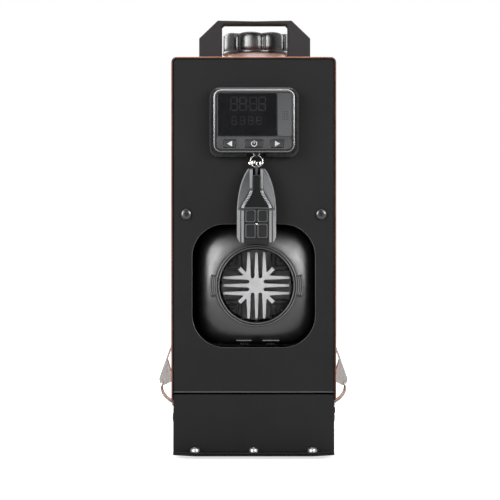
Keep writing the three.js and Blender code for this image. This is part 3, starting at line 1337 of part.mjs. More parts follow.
function feedHose() {
  const rear = PUMP_FRONT - SPIGOT_LENGTH - CLEARANCE;
  const [x, y] = [HEATER_X + FEED_X, FRONT + FEED_Y];
  const top = HEATER_Z - FEED_STUB_DROP - CLEARANCE;
  return tube([
    [FUEL_X, rear, FUEL_Z], [FUEL_X, rear - HOSE_END, FUEL_Z],
    [FUEL_X, y + HOSE_END, FUEL_Z + FEED_BEND_LOW], [(FUEL_X + x) / 2, y, FUEL_Z + FEED_BEND_MIDDLE],
    [x, y, FUEL_Z + FEED_BEND_HIGH], [x, y, top - HOSE_END], [x, y, top],
  ], FEED_RADIUS, 0, TINY, HOSE_STEPS);
}

// ---------------------------------------------------------------- wall controller
// Drawn about the middle of its back shell, with y = 0 at the front panel's outer face.

function controllerBack() {
  const [halfWidth, halfHeight] = [BACK_WIDTH / 2, BACK_HEIGHT / 2];
  const outline = roundedBox(-halfWidth, halfWidth, -halfHeight, halfHeight, BACK_CORNER);
  const [cavityX, cavityZ] = [FACE_WIDTH / 2 - CAVITY_INSET, FACE_HEIGHT / 2 - CAVITY_INSET];
  const cavity = roundedBox(
    -cavityX, cavityX, FACE_RISE - cavityZ, FACE_RISE + cavityZ, FACE_CORNER - CAVITY_INSET,
  );
  const notch = box([HOOK_X - HOOK_NOTCH / 2, HOOK_X + HOOK_NOTCH / 2],
    [-BACK_DEPTH - CUT, 0], [-halfHeight - CUT, -halfHeight + HOOK_RISE]);
  const lug = box([HOOK_X - HOOK_THICKNESS / 2, HOOK_X + HOOK_THICKNESS / 2],
    [HANG_Y - HOOK_HALF_DEPTH, HANG_Y + HOOK_HALF_DEPTH],
    [HOOK_EYE_Z - HOOK_UNDER_EYE, -halfHeight + HOOK_RISE + HOOK_ROOT]);
  const eye = rodX(EYE_RADIUS, HOOK_X - CUT, HOOK_X + CUT, HANG_Y, HOOK_EYE_Z, SMALL);
  const shell = cut(
    prismY(outline, -BACK_DEPTH, -CLEARANCE, BACK_BEVEL, SMOOTH_CORNER),
    prismY(cavity, -BACK_DEPTH - CUT, -BACK_WALL),
    notch,
    rodY(CONTROLLER_LEAD_HOLE - SHEET, -BACK_DEPTH, CUT, -CONTROLLER_X, 0, SMALL),
  );
  return cut(joined(shell, lug), eye);
}

function faceOutline(inset) {
  const [halfWidth, halfHeight] = [FACE_WIDTH / 2 - inset, FACE_HEIGHT / 2 - inset];
  return roundedBox(
    -halfWidth, halfWidth, FACE_RISE - halfHeight, FACE_RISE + halfHeight, FACE_CORNER - inset,
  );
}

function controllerBezel() {
  const rear = -BACK_DEPTH - CLEARANCE;
  const ringSolid = prismY(faceOutline(0), rear - FACE_DEPTH, rear, BEZEL_BEVEL, SMOOTH_CORNER);
  const opening = prismY(
    faceOutline(BEZEL_WIDTH), rear - FACE_DEPTH - CUT, rear + CUT, 0, SMOOTH_CORNER,
  );
  return cut(ringSolid, opening);
}

// The face plate inside the bezel, with a pocket for the screen and three button holes.
function controllerFace() {
  const rear = -BACK_DEPTH - CLEARANCE;
  const front = rear - FACE_DEPTH + FACE_SINK;
  const plate = prismY(faceOutline(BEZEL_WIDTH + CLEARANCE), front, rear, 0, SMOOTH_CORNER);
  const pocket = prismY(screenOutline(CLEARANCE), front - CUT, front + SCREEN_THICKNESS);
  const holes = CONTROLLER_BUTTONS.map(({ x, width }) => box(
    [x - width / 2 - CLEARANCE, x + width / 2 + CLEARANCE], [front - CUT, rear + CUT],
    [BUTTON_Z - BUTTON_HEIGHT / 2 - CLEARANCE, BUTTON_Z + BUTTON_HEIGHT / 2 + CLEARANCE],
  ));
  return cut(plate, pocket, ...holes);
}

function screenOutline(spread) {
  return roundedBox(
    SCREEN_LEFT - spread, SCREEN_RIGHT + spread, SCREEN_BOTTOM - spread, SCREEN_TOP + spread,
    SCREEN_CORNER + spread,
  );
}

function controllerScreen() {
  const front = -BACK_DEPTH - CLEARANCE - FACE_DEPTH + FACE_SINK;
  const rear = front + SCREEN_THICKNESS - CLEARANCE;
  return prismY(screenOutline(0), front - SCREEN_PROUD, rear, SCREEN_PROUD);
}

// A button, with a collar behind the face that keeps it in.
function controllerButton({ x, width }) {
  const rear = -BACK_DEPTH - CLEARANCE;
  const front = rear - FACE_DEPTH + FACE_SINK - BUTTON_PROUD;
  const outline = (spread) => roundedBox(
    x - width / 2 - spread, x + width / 2 + spread, BUTTON_Z - BUTTON_HEIGHT / 2 - spread,
    BUTTON_Z + BUTTON_HEIGHT / 2 + spread, BUTTON_CORNER,
  );
  return joined(
    prismY(outline(0), front, rear + BUTTON_REAR, KEY_BEVEL, PLAIN_CORNER),
    prismY(outline(BUTTON_COLLAR), rear + CLEARANCE, rear + BUTTON_REAR, 0, PLAIN_CORNER),
  );
}

// ---------------------------------------------------------------- key ring and remote

function keyRing() {
  const section = new THREE.TorusGeometry(RING_RADIUS, RING_WIRE, HEX, RING_STEPS);
  return solidOf(section.rotateX(Math.PI / 2));
}

// The remote's outline, from its flat top downwards: an ellipse that runs into a straight body.
function remoteOutline() {
  const half = REMOTE_WIDTH / 2;
  const right = [];
  for (let i = 0; i <= REMOTE_ELLIPSE_STEPS; i += 1) {
    const depth = (REMOTE_SHOULDER * i) / REMOTE_ELLIPSE_STEPS;
    const share = (REMOTE_SHOULDER - depth) / REMOTE_ELLIPSE;
    right.push([half * Math.sqrt(1 - share * share), -depth]);
  }
  right.push(...REMOTE_CLIP.map(([across, up]) => [half - across, up - REMOTE_HEIGHT]));
  const left = right.map(([x, z]) => [-x, z]).reverse();
  return polygon([...right, ...left]);
}

// Drawn about the middle of its flat top, with y = 0 in the middle of its thickness.
function remoteBody() {
  const half = REMOTE_THICKNESS / 2;
  const body = prismY(remoteOutline(), -half, half, REMOTE_BEVEL);
  const topSlot = box([-REMOTE_SLOT / 2, REMOTE_SLOT / 2], [-half - CUT, half + CUT],
    [-REMOTE_SLOT_DEPTH, CUT]);
  const tab = box([-HOOK_THICKNESS / 2, HOOK_THICKNESS / 2], [-TAB_HALF_DEPTH, TAB_HALF_DEPTH],
    [-REMOTE_SLOT_DEPTH - TAB_ROOT, REMOTE_EYE_Z + TAB_OVER_EYE]);
  const eye = rodX(EYE_RADIUS, -CUT, CUT, 0, REMOTE_EYE_Z, SMALL);
  const guide = box([-TONGUE_WIDTH / 2 - CLEARANCE, TONGUE_WIDTH / 2 + CLEARANCE],
    [-half - CUT, -half + TONGUE_DEPTH + CLEARANCE],
    [-TONGUE_BOTTOM - COVER_TRAVEL - 2 * CLEARANCE, -REMOTE_SLOT_DEPTH + CUT]);
  const rails = [-1, 1].map((side) => box(
    side > 0 ? [RAIL_X, RAIL_X + RAIL_WIDTH] : [-RAIL_X - RAIL_WIDTH, -RAIL_X],
    [-half - RAIL_PROUD, -half + RAIL_ROOT],
    [-REMOTE_HEIGHT + RAIL_END_GAP, -COVER_BOTTOM - RAIL_END_GAP],
  ));
  const holes = REMOTE_BUTTONS.map(({ x, z, width, height }) => box(
    [x - width / 2 - CLEARANCE, x + width / 2 + CLEARANCE], [-half - CUT, -half + KEY_POCKET],
    [z - height / 2 - CLEARANCE, z + height / 2 + CLEARANCE],
  ));
  return cut(joined(cut(body, topSlot), tab, ...rails), eye, guide, ...holes);
}

// The sliding cover: a slim neck that spreads to a wide skirt, with a tongue in the body's guide.
function remoteCover() {
  const rear = -REMOTE_THICKNESS / 2 - RAIL_PROUD - 2 * CLEARANCE;
  const [neck, skirt] = [COVER_NECK / 2, COVER_WIDTH / 2];
  const outline = polygon([
    [-neck, -COVER_TOP], [neck, -COVER_TOP], [neck, -COVER_SPREAD],
    [skirt, -COVER_BOTTOM + COVER_EDGE], [skirt, -COVER_BOTTOM], [-skirt, -COVER_BOTTOM],
    [-skirt, -COVER_BOTTOM + COVER_EDGE], [-neck, -COVER_SPREAD],
  ]);
  const tongue = box([-TONGUE_WIDTH / 2, TONGUE_WIDTH / 2],
    [rear - TONGUE_ROOT, -REMOTE_THICKNESS / 2 + TONGUE_DEPTH],
    [-TONGUE_BOTTOM, -TONGUE_BOTTOM + TONGUE_LENGTH]);
  return joined(prismY(outline, rear - COVER_THICKNESS, rear, COVER_BEVEL), tongue);
}

function remoteButton({ x, z, width, height }) {
  const front = -REMOTE_THICKNESS / 2 - KEY_PROUD;
  const outline = roundedBox(
    x - width / 2, x + width / 2, z - height / 2, z + height / 2, KEY_CORNER,
  );
  return prismY(outline, front, front + KEY_DEPTH, KEY_BEVEL, PLAIN_CORNER);
}

// ---------------------------------------------------------------- draw latches
// Drawn for the right side, with x = 0 on the casing's outer face, y = 0 in the latch's middle
// and z = 0 at the casing's lower edge.

function latchBracket() {
  const plate = box([CLEARANCE, CLEARANCE + LATCH_SHEET], [-EAR_OUTER, EAR_OUTER],
    [PIVOT_Z - EAR_HALF_HEIGHT, PIVOT_Z + EAR_HALF_HEIGHT]);
  const outline = polygon([
    [CLEARANCE, PIVOT_Z - EAR_HALF_HEIGHT],
    ...EAR_OUTLINE.map(([x, z]) => [PIVOT_X + x, PIVOT_Z + z]),
    [CLEARANCE, PIVOT_Z + EAR_HALF_HEIGHT],
  ]);
  const ears = [-EAR_OUTER, EAR_OUTER - LATCH_SHEET].map((y) => (
    prismY(outline, y, y + LATCH_SHEET)
  ));
  const pin = rodY(PIVOT_RADIUS, -CHEEK_OUTER - CLEARANCE, CHEEK_OUTER + CLEARANCE, PIVOT_X,
    PIVOT_Z, SMALL);
  return joined(plate, ...ears, pin);
}

// The lever: a bent plate with a cheek at each edge, turning on the bracket's pin.
function latchLever() {
  const plateOutline = polygon([...LEVER_OUTSIDE, ...LEVER_INSIDE]);
  const cheeks = [-CHEEK_OUTER, CHEEK_OUTER - LATCH_SHEET].map((y) => (
    prismY(polygon(CHEEK_OUTLINE), y, y + LATCH_SHEET)
  ));
  const whole = joined(prismY(plateOutline, -CHEEK_OUTER, CHEEK_OUTER), ...cheeks);
  return cut(
    whole,
    rodY(PIVOT_RADIUS + CLEARANCE, -3 * CHEEK_OUTER, 3 * CHEEK_OUTER, PIVOT_X, PIVOT_Z, SMALL),
    rodY(BAIL_WIRE + CLEARANCE, -3 * CHEEK_OUTER, 3 * CHEEK_OUTER, BAIL_X, BAIL_Z, SMALL),
  );
}

// The wire bail: a pin in each cheek, two bowed legs and the bar that the catch holds.
function latchBail() {
  const leg = CHEEK_OUTER + BAIL_WIRE + 2 * CLEARANCE;
  const inner = EAR_OUTER + 2 * CLEARANCE;
  const half = [
    [BAIL_X, inner, BAIL_Z], [BAIL_X, CHEEK_OUTER, BAIL_Z],
    ...BAIL_BOW.map(([x, z]) => [BAIL_X + x, leg, BAIL_Z + z]),
    [BAR_X + BAIL_WIRE, leg, BAR_Z + BAIL_WIRE / 2], [BAR_X, leg - BAIL_TURN, BAR_Z],
    [BAR_X, leg / 2, BAR_Z],
  ];
  const otherHalf = half.map(([x, y, z]) => [x, -y, z]).reverse();
  return tube([...half, ...otherHalf], BAIL_WIRE, 0, HEX, BAIL_STEPS);
}

function latchCatch() {
  const wall = BASE_HALF + CLEARANCE - HALF;
  const face = wall + LATCH_SHEET;
  const arm = BAR_Z + BAIL_WIRE + 2 * CLEARANCE;
  const lipInside = BAR_X + BAIL_WIRE + HOOK_PLAY;
  const outline = polygon([
    [wall, BAR_Z - CATCH_FOOT], [face, BAR_Z - CATCH_FOOT], [face, arm], [lipInside, arm],
    [lipInside, BAR_Z - HOOK_DROP], [lipInside + LATCH_SHEET, BAR_Z - HOOK_DROP],
    [lipInside + LATCH_SHEET, arm + LATCH_SHEET], [face, arm + LATCH_SHEET],
    [face, -CATCH_TOP_GAP], [wall, -CATCH_TOP_GAP],
  ]);
  return prismY(outline, -EAR_OUTER, EAR_OUTER);
}

// ---------------------------------------------------------------- assembly

const model = new THREE.Group();

function subGroup(x, y, z) {
  const group = new THREE.Group();
  group.position.set(x, y, z);
  model.add(group);
  return group;
}

function addBase() {
  addPiece(model, 'base_tray', baseTray(), BLACK_PAINT);
  addPiece(model, 'base_front_cover', baseFrontCover(), BLACK_PAINT);
  addPiece(model, 'base_deck', baseDeck(), BLACK_PAINT);
  addPiece(model, 'foot_front_left', rubberFoot(-1, -1), RUBBER);
  addPiece(model, 'foot_front_right', rubberFoot(1, -1), RUBBER);
  addPiece(model, 'foot_rear_left', rubberFoot(-1, 1), RUBBER);
  addPiece(model, 'foot_rear_right', rubberFoot(1, 1), RUBBER);
  addPiece(model, 'power_gland', powerGland(), RUBBER);
  addPiece(model, 'lead_loop', leadLoop(), RUBBER);
}

function addCase() {
  addPiece(model, 'casing_shell', casingShell(), ORANGE_PAINT);
  addPiece(model, 'front_panel', frontPanel(), BLACK_PAINT);
  addPiece(model, 'rear_panel', rearPanel(), BLACK_PAINT);
  addPiece(model, 'carry_handle', carryHandle(), BLACK_PLASTIC);
}

function addTank() {
  addPiece(model, 'tank_shelf', tankShelf(), BLACK_PAINT);
  addPiece(model, 'fuel_tank', fuelTank(), WHITE_PLASTIC);
  addPiece(model, 'neck_seal', neckSeal(), RUBBER);
  addPiece(model, 'cap_gasket', capGasket(), RUBBER);
  addPiece(model, 'fuel_cap', fuelCap(), GLOSS_BLACK);
}

function addHeaterUnit() {
  const unit = subGroup(HEATER_X, FRONT, HEATER_Z);
  addPiece(unit, 'heater_upper_shell', halfShell(1), BLACK_PLASTIC);
  addPiece(unit, 'heater_lower_shell', lowerShell(), BLACK_PLASTIC);
  addPiece(unit, 'heater_front_shell', frontShell(), BLACK_PLASTIC);
  addPiece(unit, 'heater_inlet_cowl', inletCowl(), BLACK_PLASTIC);
  addPiece(unit, 'outlet_ring', outletRing(), BLACK_PLASTIC);
  addPiece(unit, 'heat_exchanger', heatExchanger(), CAST_ALUMINIUM);
  addPiece(unit, 'burner_tube', burnerTube(), BRIGHT_STEEL);
  addPiece(unit, 'glow_plug', glowPlug(), BRASS);
  addPiece(unit, 'blower_motor', blowerMotor(), BRIGHT_STEEL);
  addPiece(unit, 'fan_wheel', fanWheel(), BLACK_PLASTIC);
  addPiece(unit, 'burner_impeller', burnerImpeller(), CAST_ALUMINIUM);
  addPiece(unit, 'control_board', controlBoard(), BOARD_GREEN);
}

function addPipesAndFuel() {
  addPiece(model, 'heater_cradle', heaterCradle(), BRIGHT_STEEL);
  const exhaust = portPipe(HEATER_X - PIPE_X, FRONT + EXHAUST_Y, EXHAUST_RADIUS, EXHAUST_WALL);
  const air = portPipe(HEATER_X + PIPE_X, FRONT + AIR_Y, AIR_RADIUS, AIR_WALL);
  addPiece(model, 'exhaust_pipe', exhaust, BRIGHT_STEEL);
  addPiece(model, 'combustion_air_pipe', air, BLACK_PLASTIC);
  addPiece(model, 'fuel_pump', fuelPump(), BRIGHT_STEEL);
  addPiece(model, 'fuel_filter', fuelFilter(), FILTER_AMBER);
  addPiece(model, 'suction_hose', suctionHose(), RUBBER);
  addPiece(model, 'link_hose', linkHose(), RUBBER);
  addPiece(model, 'feed_hose', feedHose(), RUBBER);
}

function addController() {
  const unit = subGroup(CONTROLLER_X, FRONT, CONTROLLER_MIDDLE_Z);
  addPiece(unit, 'controller_back', controllerBack(), BLACK_PLASTIC);
  addPiece(unit, 'controller_bezel', controllerBezel(), SILVER_PLASTIC);
  addPiece(unit, 'controller_face', controllerFace(), GREY_PLASTIC);
  addPiece(unit, 'controller_screen', controllerScreen(), GLOSS_BLACK);
  for (const button of CONTROLLER_BUTTONS) {
    addPiece(unit, button.name, controllerButton(button), BLACK_PLASTIC);
  }
}

function addRemote() {
  const hangX = CONTROLLER_X + HOOK_X;
  const eyeZ = CONTROLLER_MIDDLE_Z + HOOK_EYE_Z;
  const ringGroup = subGroup(hangX, FRONT + HANG_Y, eyeZ - RING_RADIUS);
  addPiece(ringGroup, 'key_ring', keyRing(), BRIGHT_STEEL);
  const remote = subGroup(hangX, FRONT + HANG_Y, eyeZ - 2 * RING_RADIUS - REMOTE_EYE_Z);
  addPiece(remote, 'remote_body', remoteBody(), SILVER_PLASTIC);
  addPiece(remote, 'remote_cover', remoteCover(), BLACK_PLASTIC);
  for (const button of REMOTE_BUTTONS) {
    addPiece(remote, button.name, remoteButton(button), GREY_PLASTIC);
  }
}

function addLatch(side, turn) {
  const latch = subGroup(side === 'right' ? HALF : -HALF, LATCH_Y, CASE_BOTTOM);
  latch.rotation.z = turn;
  addPiece(latch, `latch_bracket_${side}`, latchBracket(), BRIGHT_STEEL);
  addPiece(latch, `latch_lever_${side}`, latchLever(), BRIGHT_STEEL);
  addPiece(latch, `latch_bail_${side}`, latchBail(), BRIGHT_STEEL);
  addPiece(latch, `latch_catch_${side}`, latchCatch(), BRIGHT_STEEL);
}

addBase();
addCase();
addTank();
addHeaterUnit();
addPipesAndFuel();
addController();
addRemote();
addLatch('left', Math.PI);
addLatch('right', 0);

export default model;
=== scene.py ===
"""Looks of the diesel air heater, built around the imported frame.

Lengths are in metres, in the frame's own axes: +Z up, and the front faces -Y. MM turns
millimetres into metres.
"""

import json
import math

import bmesh
import bpy
from mathutils import Matrix, Vector


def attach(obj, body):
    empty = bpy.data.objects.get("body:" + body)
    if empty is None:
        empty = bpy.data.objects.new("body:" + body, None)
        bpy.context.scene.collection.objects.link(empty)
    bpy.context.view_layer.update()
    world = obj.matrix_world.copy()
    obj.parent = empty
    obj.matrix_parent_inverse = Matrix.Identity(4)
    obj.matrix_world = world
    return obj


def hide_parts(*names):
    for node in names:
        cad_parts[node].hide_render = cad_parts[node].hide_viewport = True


MM = 0.001
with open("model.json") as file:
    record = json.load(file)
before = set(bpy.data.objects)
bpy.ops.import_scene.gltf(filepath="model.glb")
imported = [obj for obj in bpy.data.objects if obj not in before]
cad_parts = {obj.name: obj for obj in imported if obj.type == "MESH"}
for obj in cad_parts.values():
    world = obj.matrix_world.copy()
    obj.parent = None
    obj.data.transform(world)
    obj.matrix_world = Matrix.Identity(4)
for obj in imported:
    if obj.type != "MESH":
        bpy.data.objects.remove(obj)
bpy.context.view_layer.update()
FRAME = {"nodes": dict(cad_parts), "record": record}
NODES = FRAME["nodes"]
SLOT_OF = {part["node"]: part["material_slot"] for part in FRAME["record"]["subparts"]}
BODY_OF = {
    node: body for body, nodes in FRAME["record"]["behaviour"]["bodies"].items() for node in nodes
}

# ---------------------------------------------------------------- places, in millimetres

FRONT = -195.0
CASE_TOP = 364.5
HALF = 75.0
HEATER_X = 2.5
HEATER_Z = 156.5
LIP_TOP = 6.3
SIDES = ((-1, "left"), (1, "right"))
FLAT_ANGLE = math.radians(0.6)  # faces this close in direction count as one plane

CAMERA_AT = Vector((-3.4, -1995.0, 189.0)) * MM
CAMERA_LENS = 142.6
CAMERA_SENSOR = 36.0


def srgb(red, green, blue):
    """A linear colour from the 0-255 values that a picture shows."""

    def linear(value):
        value /= 255.0
        return value / 12.92 if value <= 0.04045 else ((value + 0.055) / 1.055) ** 2.4

    return linear(red), linear(green), linear(blue), 1.0


def scaled(colour, factor):
    return tuple(min(1.0, channel * factor) for channel in colour[:3]) + (1.0,)


# ---------------------------------------------------------------- materials


class Shader:
    """A material's node tree, with the few nodes that the finishes share."""

    def __init__(self, name, colour, roughness, metallic=0.0):
        self.name = name
        self.material = bpy.data.materials.new(name)
        self.material.use_nodes = True
        self.tree = self.material.node_tree
        self.shader = self.tree.nodes["Principled BSDF"]
        self.shader.inputs["Base Color"].default_value = colour
        self.shader.inputs["Roughness"].default_value = roughness
        self.shader.inputs["Metallic"].default_value = metallic
        self.colour = colour
        self.place = self.node("ShaderNodeTexCoord").outputs["Object"]

    def node(self, kind, **values):
        made = self.tree.nodes.new(kind)
        for key, value in values.items():
            setattr(made, key, value)
        return made

    def link(self, source, target):
        self.tree.links.new(source, target)

    def stretched(self, stretch):
        """Object coordinates, scaled by stretch along each axis."""
        mapping = self.node("ShaderNodeMapping")
        mapping.inputs["Scale"].default_value = stretch
        self.link(self.place, mapping.inputs["Vector"])
        return mapping.outputs["Vector"]

    def noise(self, scale, detail=3.0, roughness=0.5, stretch=(1, 1, 1)):
        made = self.node("ShaderNodeTexNoise")
        made.inputs["Scale"].default_value = scale
        made.inputs["Detail"].default_value = detail
        made.inputs["Roughness"].default_value = roughness
        self.link(self.stretched(stretch), made.inputs["Vector"])
        return made.outputs["Fac"]

    def ranged(self, source, low, high, start=0.3, end=0.7):
        made = self.node("ShaderNodeMapRange")
        made.inputs["From Min"].default_value = start
        made.inputs["From Max"].default_value = end
        made.inputs["To Min"].default_value = low
        made.inputs["To Max"].default_value = high
        self.link(source, made.inputs["Value"])
        return made.outputs["Result"]

    def mixed(self, factor, first, second):
        """first where factor is 0, second where it is 1; each is a colour or a socket."""
        made = self.node("ShaderNodeMix", data_type="RGBA")
        self.link(factor, made.inputs["Factor"])
        for index, value in ((6, first), (7, second)):
            if isinstance(value, tuple):
                made.inputs[index].default_value = value
            else:
                self.link(value, made.inputs[index])
        return made.outputs[2]

    def times(self, first, second):
        made = self.node("ShaderNodeMath", operation="MULTIPLY")
        self.link(first, made.inputs[0])
        self.link(second, made.inputs[1])
        return made.outputs[0]

    def axis(self, name):
        """One coordinate of the place, in metres."""
        made = self.node("ShaderNodeSeparateXYZ")
        self.link(self.place, made.inputs["Vector"])
        return made.outputs[name]

    def paint(self, source):
        self.link(source, self.shader.inputs["Base Color"])

    def varied(self, source, dark, light):
        """Paints the colour times dark to the colour times light, as source goes up."""
        low, high = scaled(self.colour, dark), scaled(self.colour, light)
        self.paint(self.mixed(self.ranged(source, 0, 1), low, high))

    def rough(self, source):
        self.link(source, self.shader.inputs["Roughness"])

    def bump(self, source, depth, strength=1.0):
        made = self.node("ShaderNodeBump")
        made.inputs["Distance"].default_value = depth
        made.inputs["Strength"].default_value = strength
        self.link(source, made.inputs["Height"])
        self.link(made.outputs["Normal"], self.shader.inputs["Normal"])

    def set(self, **values):
        for key, value in values.items():
            self.shader.inputs[key.replace("_", " ")].default_value = value


def powder_coat(name, colour, roughness=0.5):
    """Sprayed paint with a fine orange-peel skin and faint handling marks."""
    coat = Shader(name, colour, roughness)
    coat.set(Specular_IOR_Level=0.13)
    coat.varied(coat.noise(14.0, 4.0), 0.88, 1.14)
    coat.rough(coat.ranged(coat.noise(55.0, 4.0), roughness - 0.06, roughness + 0.08))
    coat.bump(coat.noise(1900.0, 2.0), 0.00006, 0.5)
    return coat


def moulded(name, colour, roughness=0.5, grain=0.5, grain_scale=3200.0):
    """Injection-moulded plastic with a fine spark-eroded grain."""
    plastic = Shader(name, colour, roughness)
    plastic.varied(plastic.noise(30.0, 3.0), 0.9, 1.12)
    plastic.rough(plastic.ranged(plastic.noise(120.0, 3.0), roughness - 0.05, roughness + 0.06))
    plastic.bump(plastic.noise(grain_scale, 2.0), 0.00004, grain)
    return plastic


def brushed(name, colour, roughness=0.3, stretch=(60, 60, 2), metallic=1.0):
    """Metal with fine lines along the axis of the smallest stretch."""
    metal = Shader(name, colour, roughness, metallic)
    lines = metal.noise(40.0, 4.0, 0.6, stretch)
    metal.varied(lines, 0.86, 1.08)
    metal.rough(metal.ranged(lines, roughness - 0.07, roughness + 0.1))
    metal.bump(lines, 0.00003, 0.35)
    return metal


def cast(name, colour, roughness=0.5):
    """Die-cast aluminium: a grainy skin with slight stains."""
    metal = Shader(name, colour, roughness, 0.35)
    metal.varied(metal.noise(60.0, 5.0), 0.85, 1.08)
    metal.rough(metal.ranged(metal.noise(300.0, 3.0), roughness - 0.08, roughness + 0.12))
    metal.bump(metal.noise(1400.0, 3.0), 0.00008, 0.6)
    return metal


def rubbery(name, colour, roughness=0.8):
    """Rubber with a dusty bloom."""
    rubber = Shader(name, colour, roughness)
    bloom = rubber.noise(80.0, 5.0)
    rubber.varied(bloom, 0.8, 1.4)
    rubber.rough(rubber.ranged(bloom, roughness - 0.1, roughness + 0.1))
    rubber.bump(rubber.noise(1500.0, 2.0), 0.00005, 0.5)
    return rubber


def orange_sheet():
    """The casing's orange paint: a painted pale highlight along the top's front, painted brown shade on
    the sheet's cut front edge, painted dark shade inside.
    """
    paint = Shader("orange_paint", srgb(206, 103, 54), 0.32)
    cloud = paint.noise(9.0, 4.0)
    body = paint.mixed(paint.ranged(cloud, 0, 1), srgb(202, 99, 51), srgb(210, 107, 57))
    side = paint.node("ShaderNodeMath", operation="ABSOLUTE")
    paint.link(paint.axis("X"), side.inputs[0])

    def until(source, place, fade):
        """1 up to a place and 0 from fade beyond it, in millimetres."""
        return paint.ranged(source, 1.0, 0.0, place * MM, (place + fade) * MM)

    def inside_of(skin_side, skin_top, fade):
        """1 where a point lies deeper than the given depths under the side and the top."""
        low_side = until(side.outputs[0], HALF - skin_side, fade)
        return paint.times(low_side, until(paint.axis("Z"), CASE_TOP - skin_top, fade))

    # Painted shade: the sheet's front edge is painted brown.
    edge = paint.times(inside_of(0.6, 0.6, 0.3), until(paint.axis("Y"), FRONT - 0.98, 0.28))
    front = until(paint.axis("Y"), FRONT - 0.9, 0.3)
    # Painted highlight: a pale line along the front of the top.
    hem_start, hem_end = (CASE_TOP - 0.7) * MM, (CASE_TOP - 0.4) * MM
    hem_highlight = paint.times(paint.ranged(paint.axis("Z"), 0.0, 1.0, hem_start, hem_end), front)
    body = paint.mixed(hem_highlight, body, srgb(232, 160, 120))
    painted = paint.mixed(edge, body, srgb(78, 34, 22))
    # Painted shade: the faces inside the casing are painted dark.
    paint.paint(paint.mixed(inside_of(1.1, 1.3, 0.2), painted, srgb(34, 30, 29)))
    paint.rough(paint.ranged(paint.noise(70.0, 3.0), 0.27, 0.4))
    paint.bump(paint.noise(1500.0, 2.0), 0.00004, 0.2)
    paint.set(Coat_Weight=0.25, Coat_Roughness=0.15)
    return paint


def tank_plastic():
    """Milky blow-moulded polyethylene."""
    plastic = Shader("white_plastic", srgb(246, 242, 240), 0.42)
    cloud = plastic.ranged(plastic.noise(25.0, 3.0), 0, 1)
    plastic.paint(plastic.mixed(cloud, srgb(240, 234, 231), srgb(250, 248, 246)))
    plastic.bump(plastic.noise(500.0, 2.0), 0.00006, 0.4)
    plastic.set(Subsurface_Weight=0.35, Subsurface_Scale=0.004, Subsurface_Radius=(1.0, 0.95, 0.9))
    return plastic


def graded(name, low, high, bottom, top, roughness, metallic=0.0):
    """A plastic whose colour runs from low at one height to high at another, in millimetres."""
    plastic = Shader(name, high, roughness, metallic)
    rise = plastic.ranged(plastic.axis("Z"), 0.0, 1.0, bottom * MM, top * MM)
    plastic.paint(plastic.mixed(rise, low, high))
    plastic.bump(plastic.noise(3000.0, 2.0), 0.00003, 0.3)
    return plastic


FINISHES = (
    orange_sheet(),
    powder_coat("black_paint", srgb(28, 28, 29), 0.54),
    moulded("black_plastic", srgb(24, 24, 25), 0.26),
    moulded("gloss_black", srgb(16, 16, 17), 0.12, 0.1),
    tank_plastic(),
    rubbery("rubber", srgb(26, 26, 27)),
    cast("cast_aluminium", srgb(214, 214, 215)),
    brushed("bright_steel", srgb(196, 194, 192), 0.24),
    brushed("brass", srgb(196, 160, 92), 0.3),
    moulded("board_green", srgb(30, 74, 50), 0.45),
    moulded("filter_amber", srgb(200, 184, 140), 0.25, 0.1),
    brushed("silver_plastic", srgb(178, 182, 185), 0.32, (8, 8, 8), 0.45),
    moulded("grey_plastic", srgb(70, 71, 74), 0.4),
)
SHADERS = {shader.name: shader for shader in FINISHES}
HANDLE_BLACK = moulded("handle_black", srgb(44, 44, 47), 0.6, 0.7)
HANDLE_BLACK.set(Specular_IOR_Level=0.2)
SHELL_BLACK = moulded("shell_black", srgb(24, 24, 25), 0.36, 0.35)
SHELL_BLACK.set(Specular_IOR_Level=0.9)
PIPE_STEEL = brushed("pipe_steel", srgb(178, 174, 168), 0.38, (3, 60, 3))


# ---------------------------------------------------------------- pieces


def finished(piece, shader, body, replaces=()):
    """Gives a new piece its finish, its body and the nodes it stands for."""
    piece.data.materials.clear()
    piece.data.materials.append(shader.material)
    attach(piece, body)
    if replaces:
        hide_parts(*replaces)
    return piece


def object_of(name, mesh):
    made = bpy.data.objects.new(name, mesh)
    bpy.context.scene.collection.objects.link(made)
    return made


def mesh_of(name, work):
    """A named mesh from what was built in work, which ends with it."""
    mesh = bpy.data.meshes.new(name)
    work.to_mesh(mesh)
    work.free()
    return mesh


def flattened(work):
    """Joins the faces that lie in one plane."""
    bmesh.ops.dissolve_limit(work, angle_limit=FLAT_ANGLE, verts=work.verts, edges=work.edges)


def softened(mesh, sharp=35.0):
    """Smooth shading, with the edges over the sharp angle left crisp."""
    work = bmesh.new()
    work.from_mesh(mesh)
    bmesh.ops.recalc_face_normals(work, faces=work.faces)
    limit = math.radians(sharp)
    for face in work.faces:
        face.smooth = True
    for edge in work.edges:
        edge.smooth = len(edge.link_faces) == 2 and edge.calc_face_angle(0.0) < limit
    work.to_mesh(mesh)
    work.free()
    return mesh


def applied(piece):
    """Makes a piece's modifiers part of its mesh."""
    seen = piece.evaluated_get(bpy.context.evaluated_depsgraph_get())
    mesh = bpy.data.meshes.new_from_object(seen)
    piece.modifiers.clear()
    piece.data = mesh
    return piece


def evened(piece):
    """Lets the large faces set the shading, so that they look flat up to their rounded edges."""
    modifier = piece.modifiers.new("flats", "WEIGHTED_NORMAL")
    modifier.keep_sharp = True
    return applied(piece)


def bevelled(piece, width, segments=2, angle=30.0):
    """Rounds a piece's edges for good."""
    modifier = piece.modifiers.new("edges", "BEVEL")
    modifier.width = width
    modifier.segments = segments
    modifier.limit_method = "ANGLE"
    modifier.angle_limit = math.radians(angle)
    modifier.use_clamp_overlap = True
    modifier.harden_normals = False
    return applied(piece)


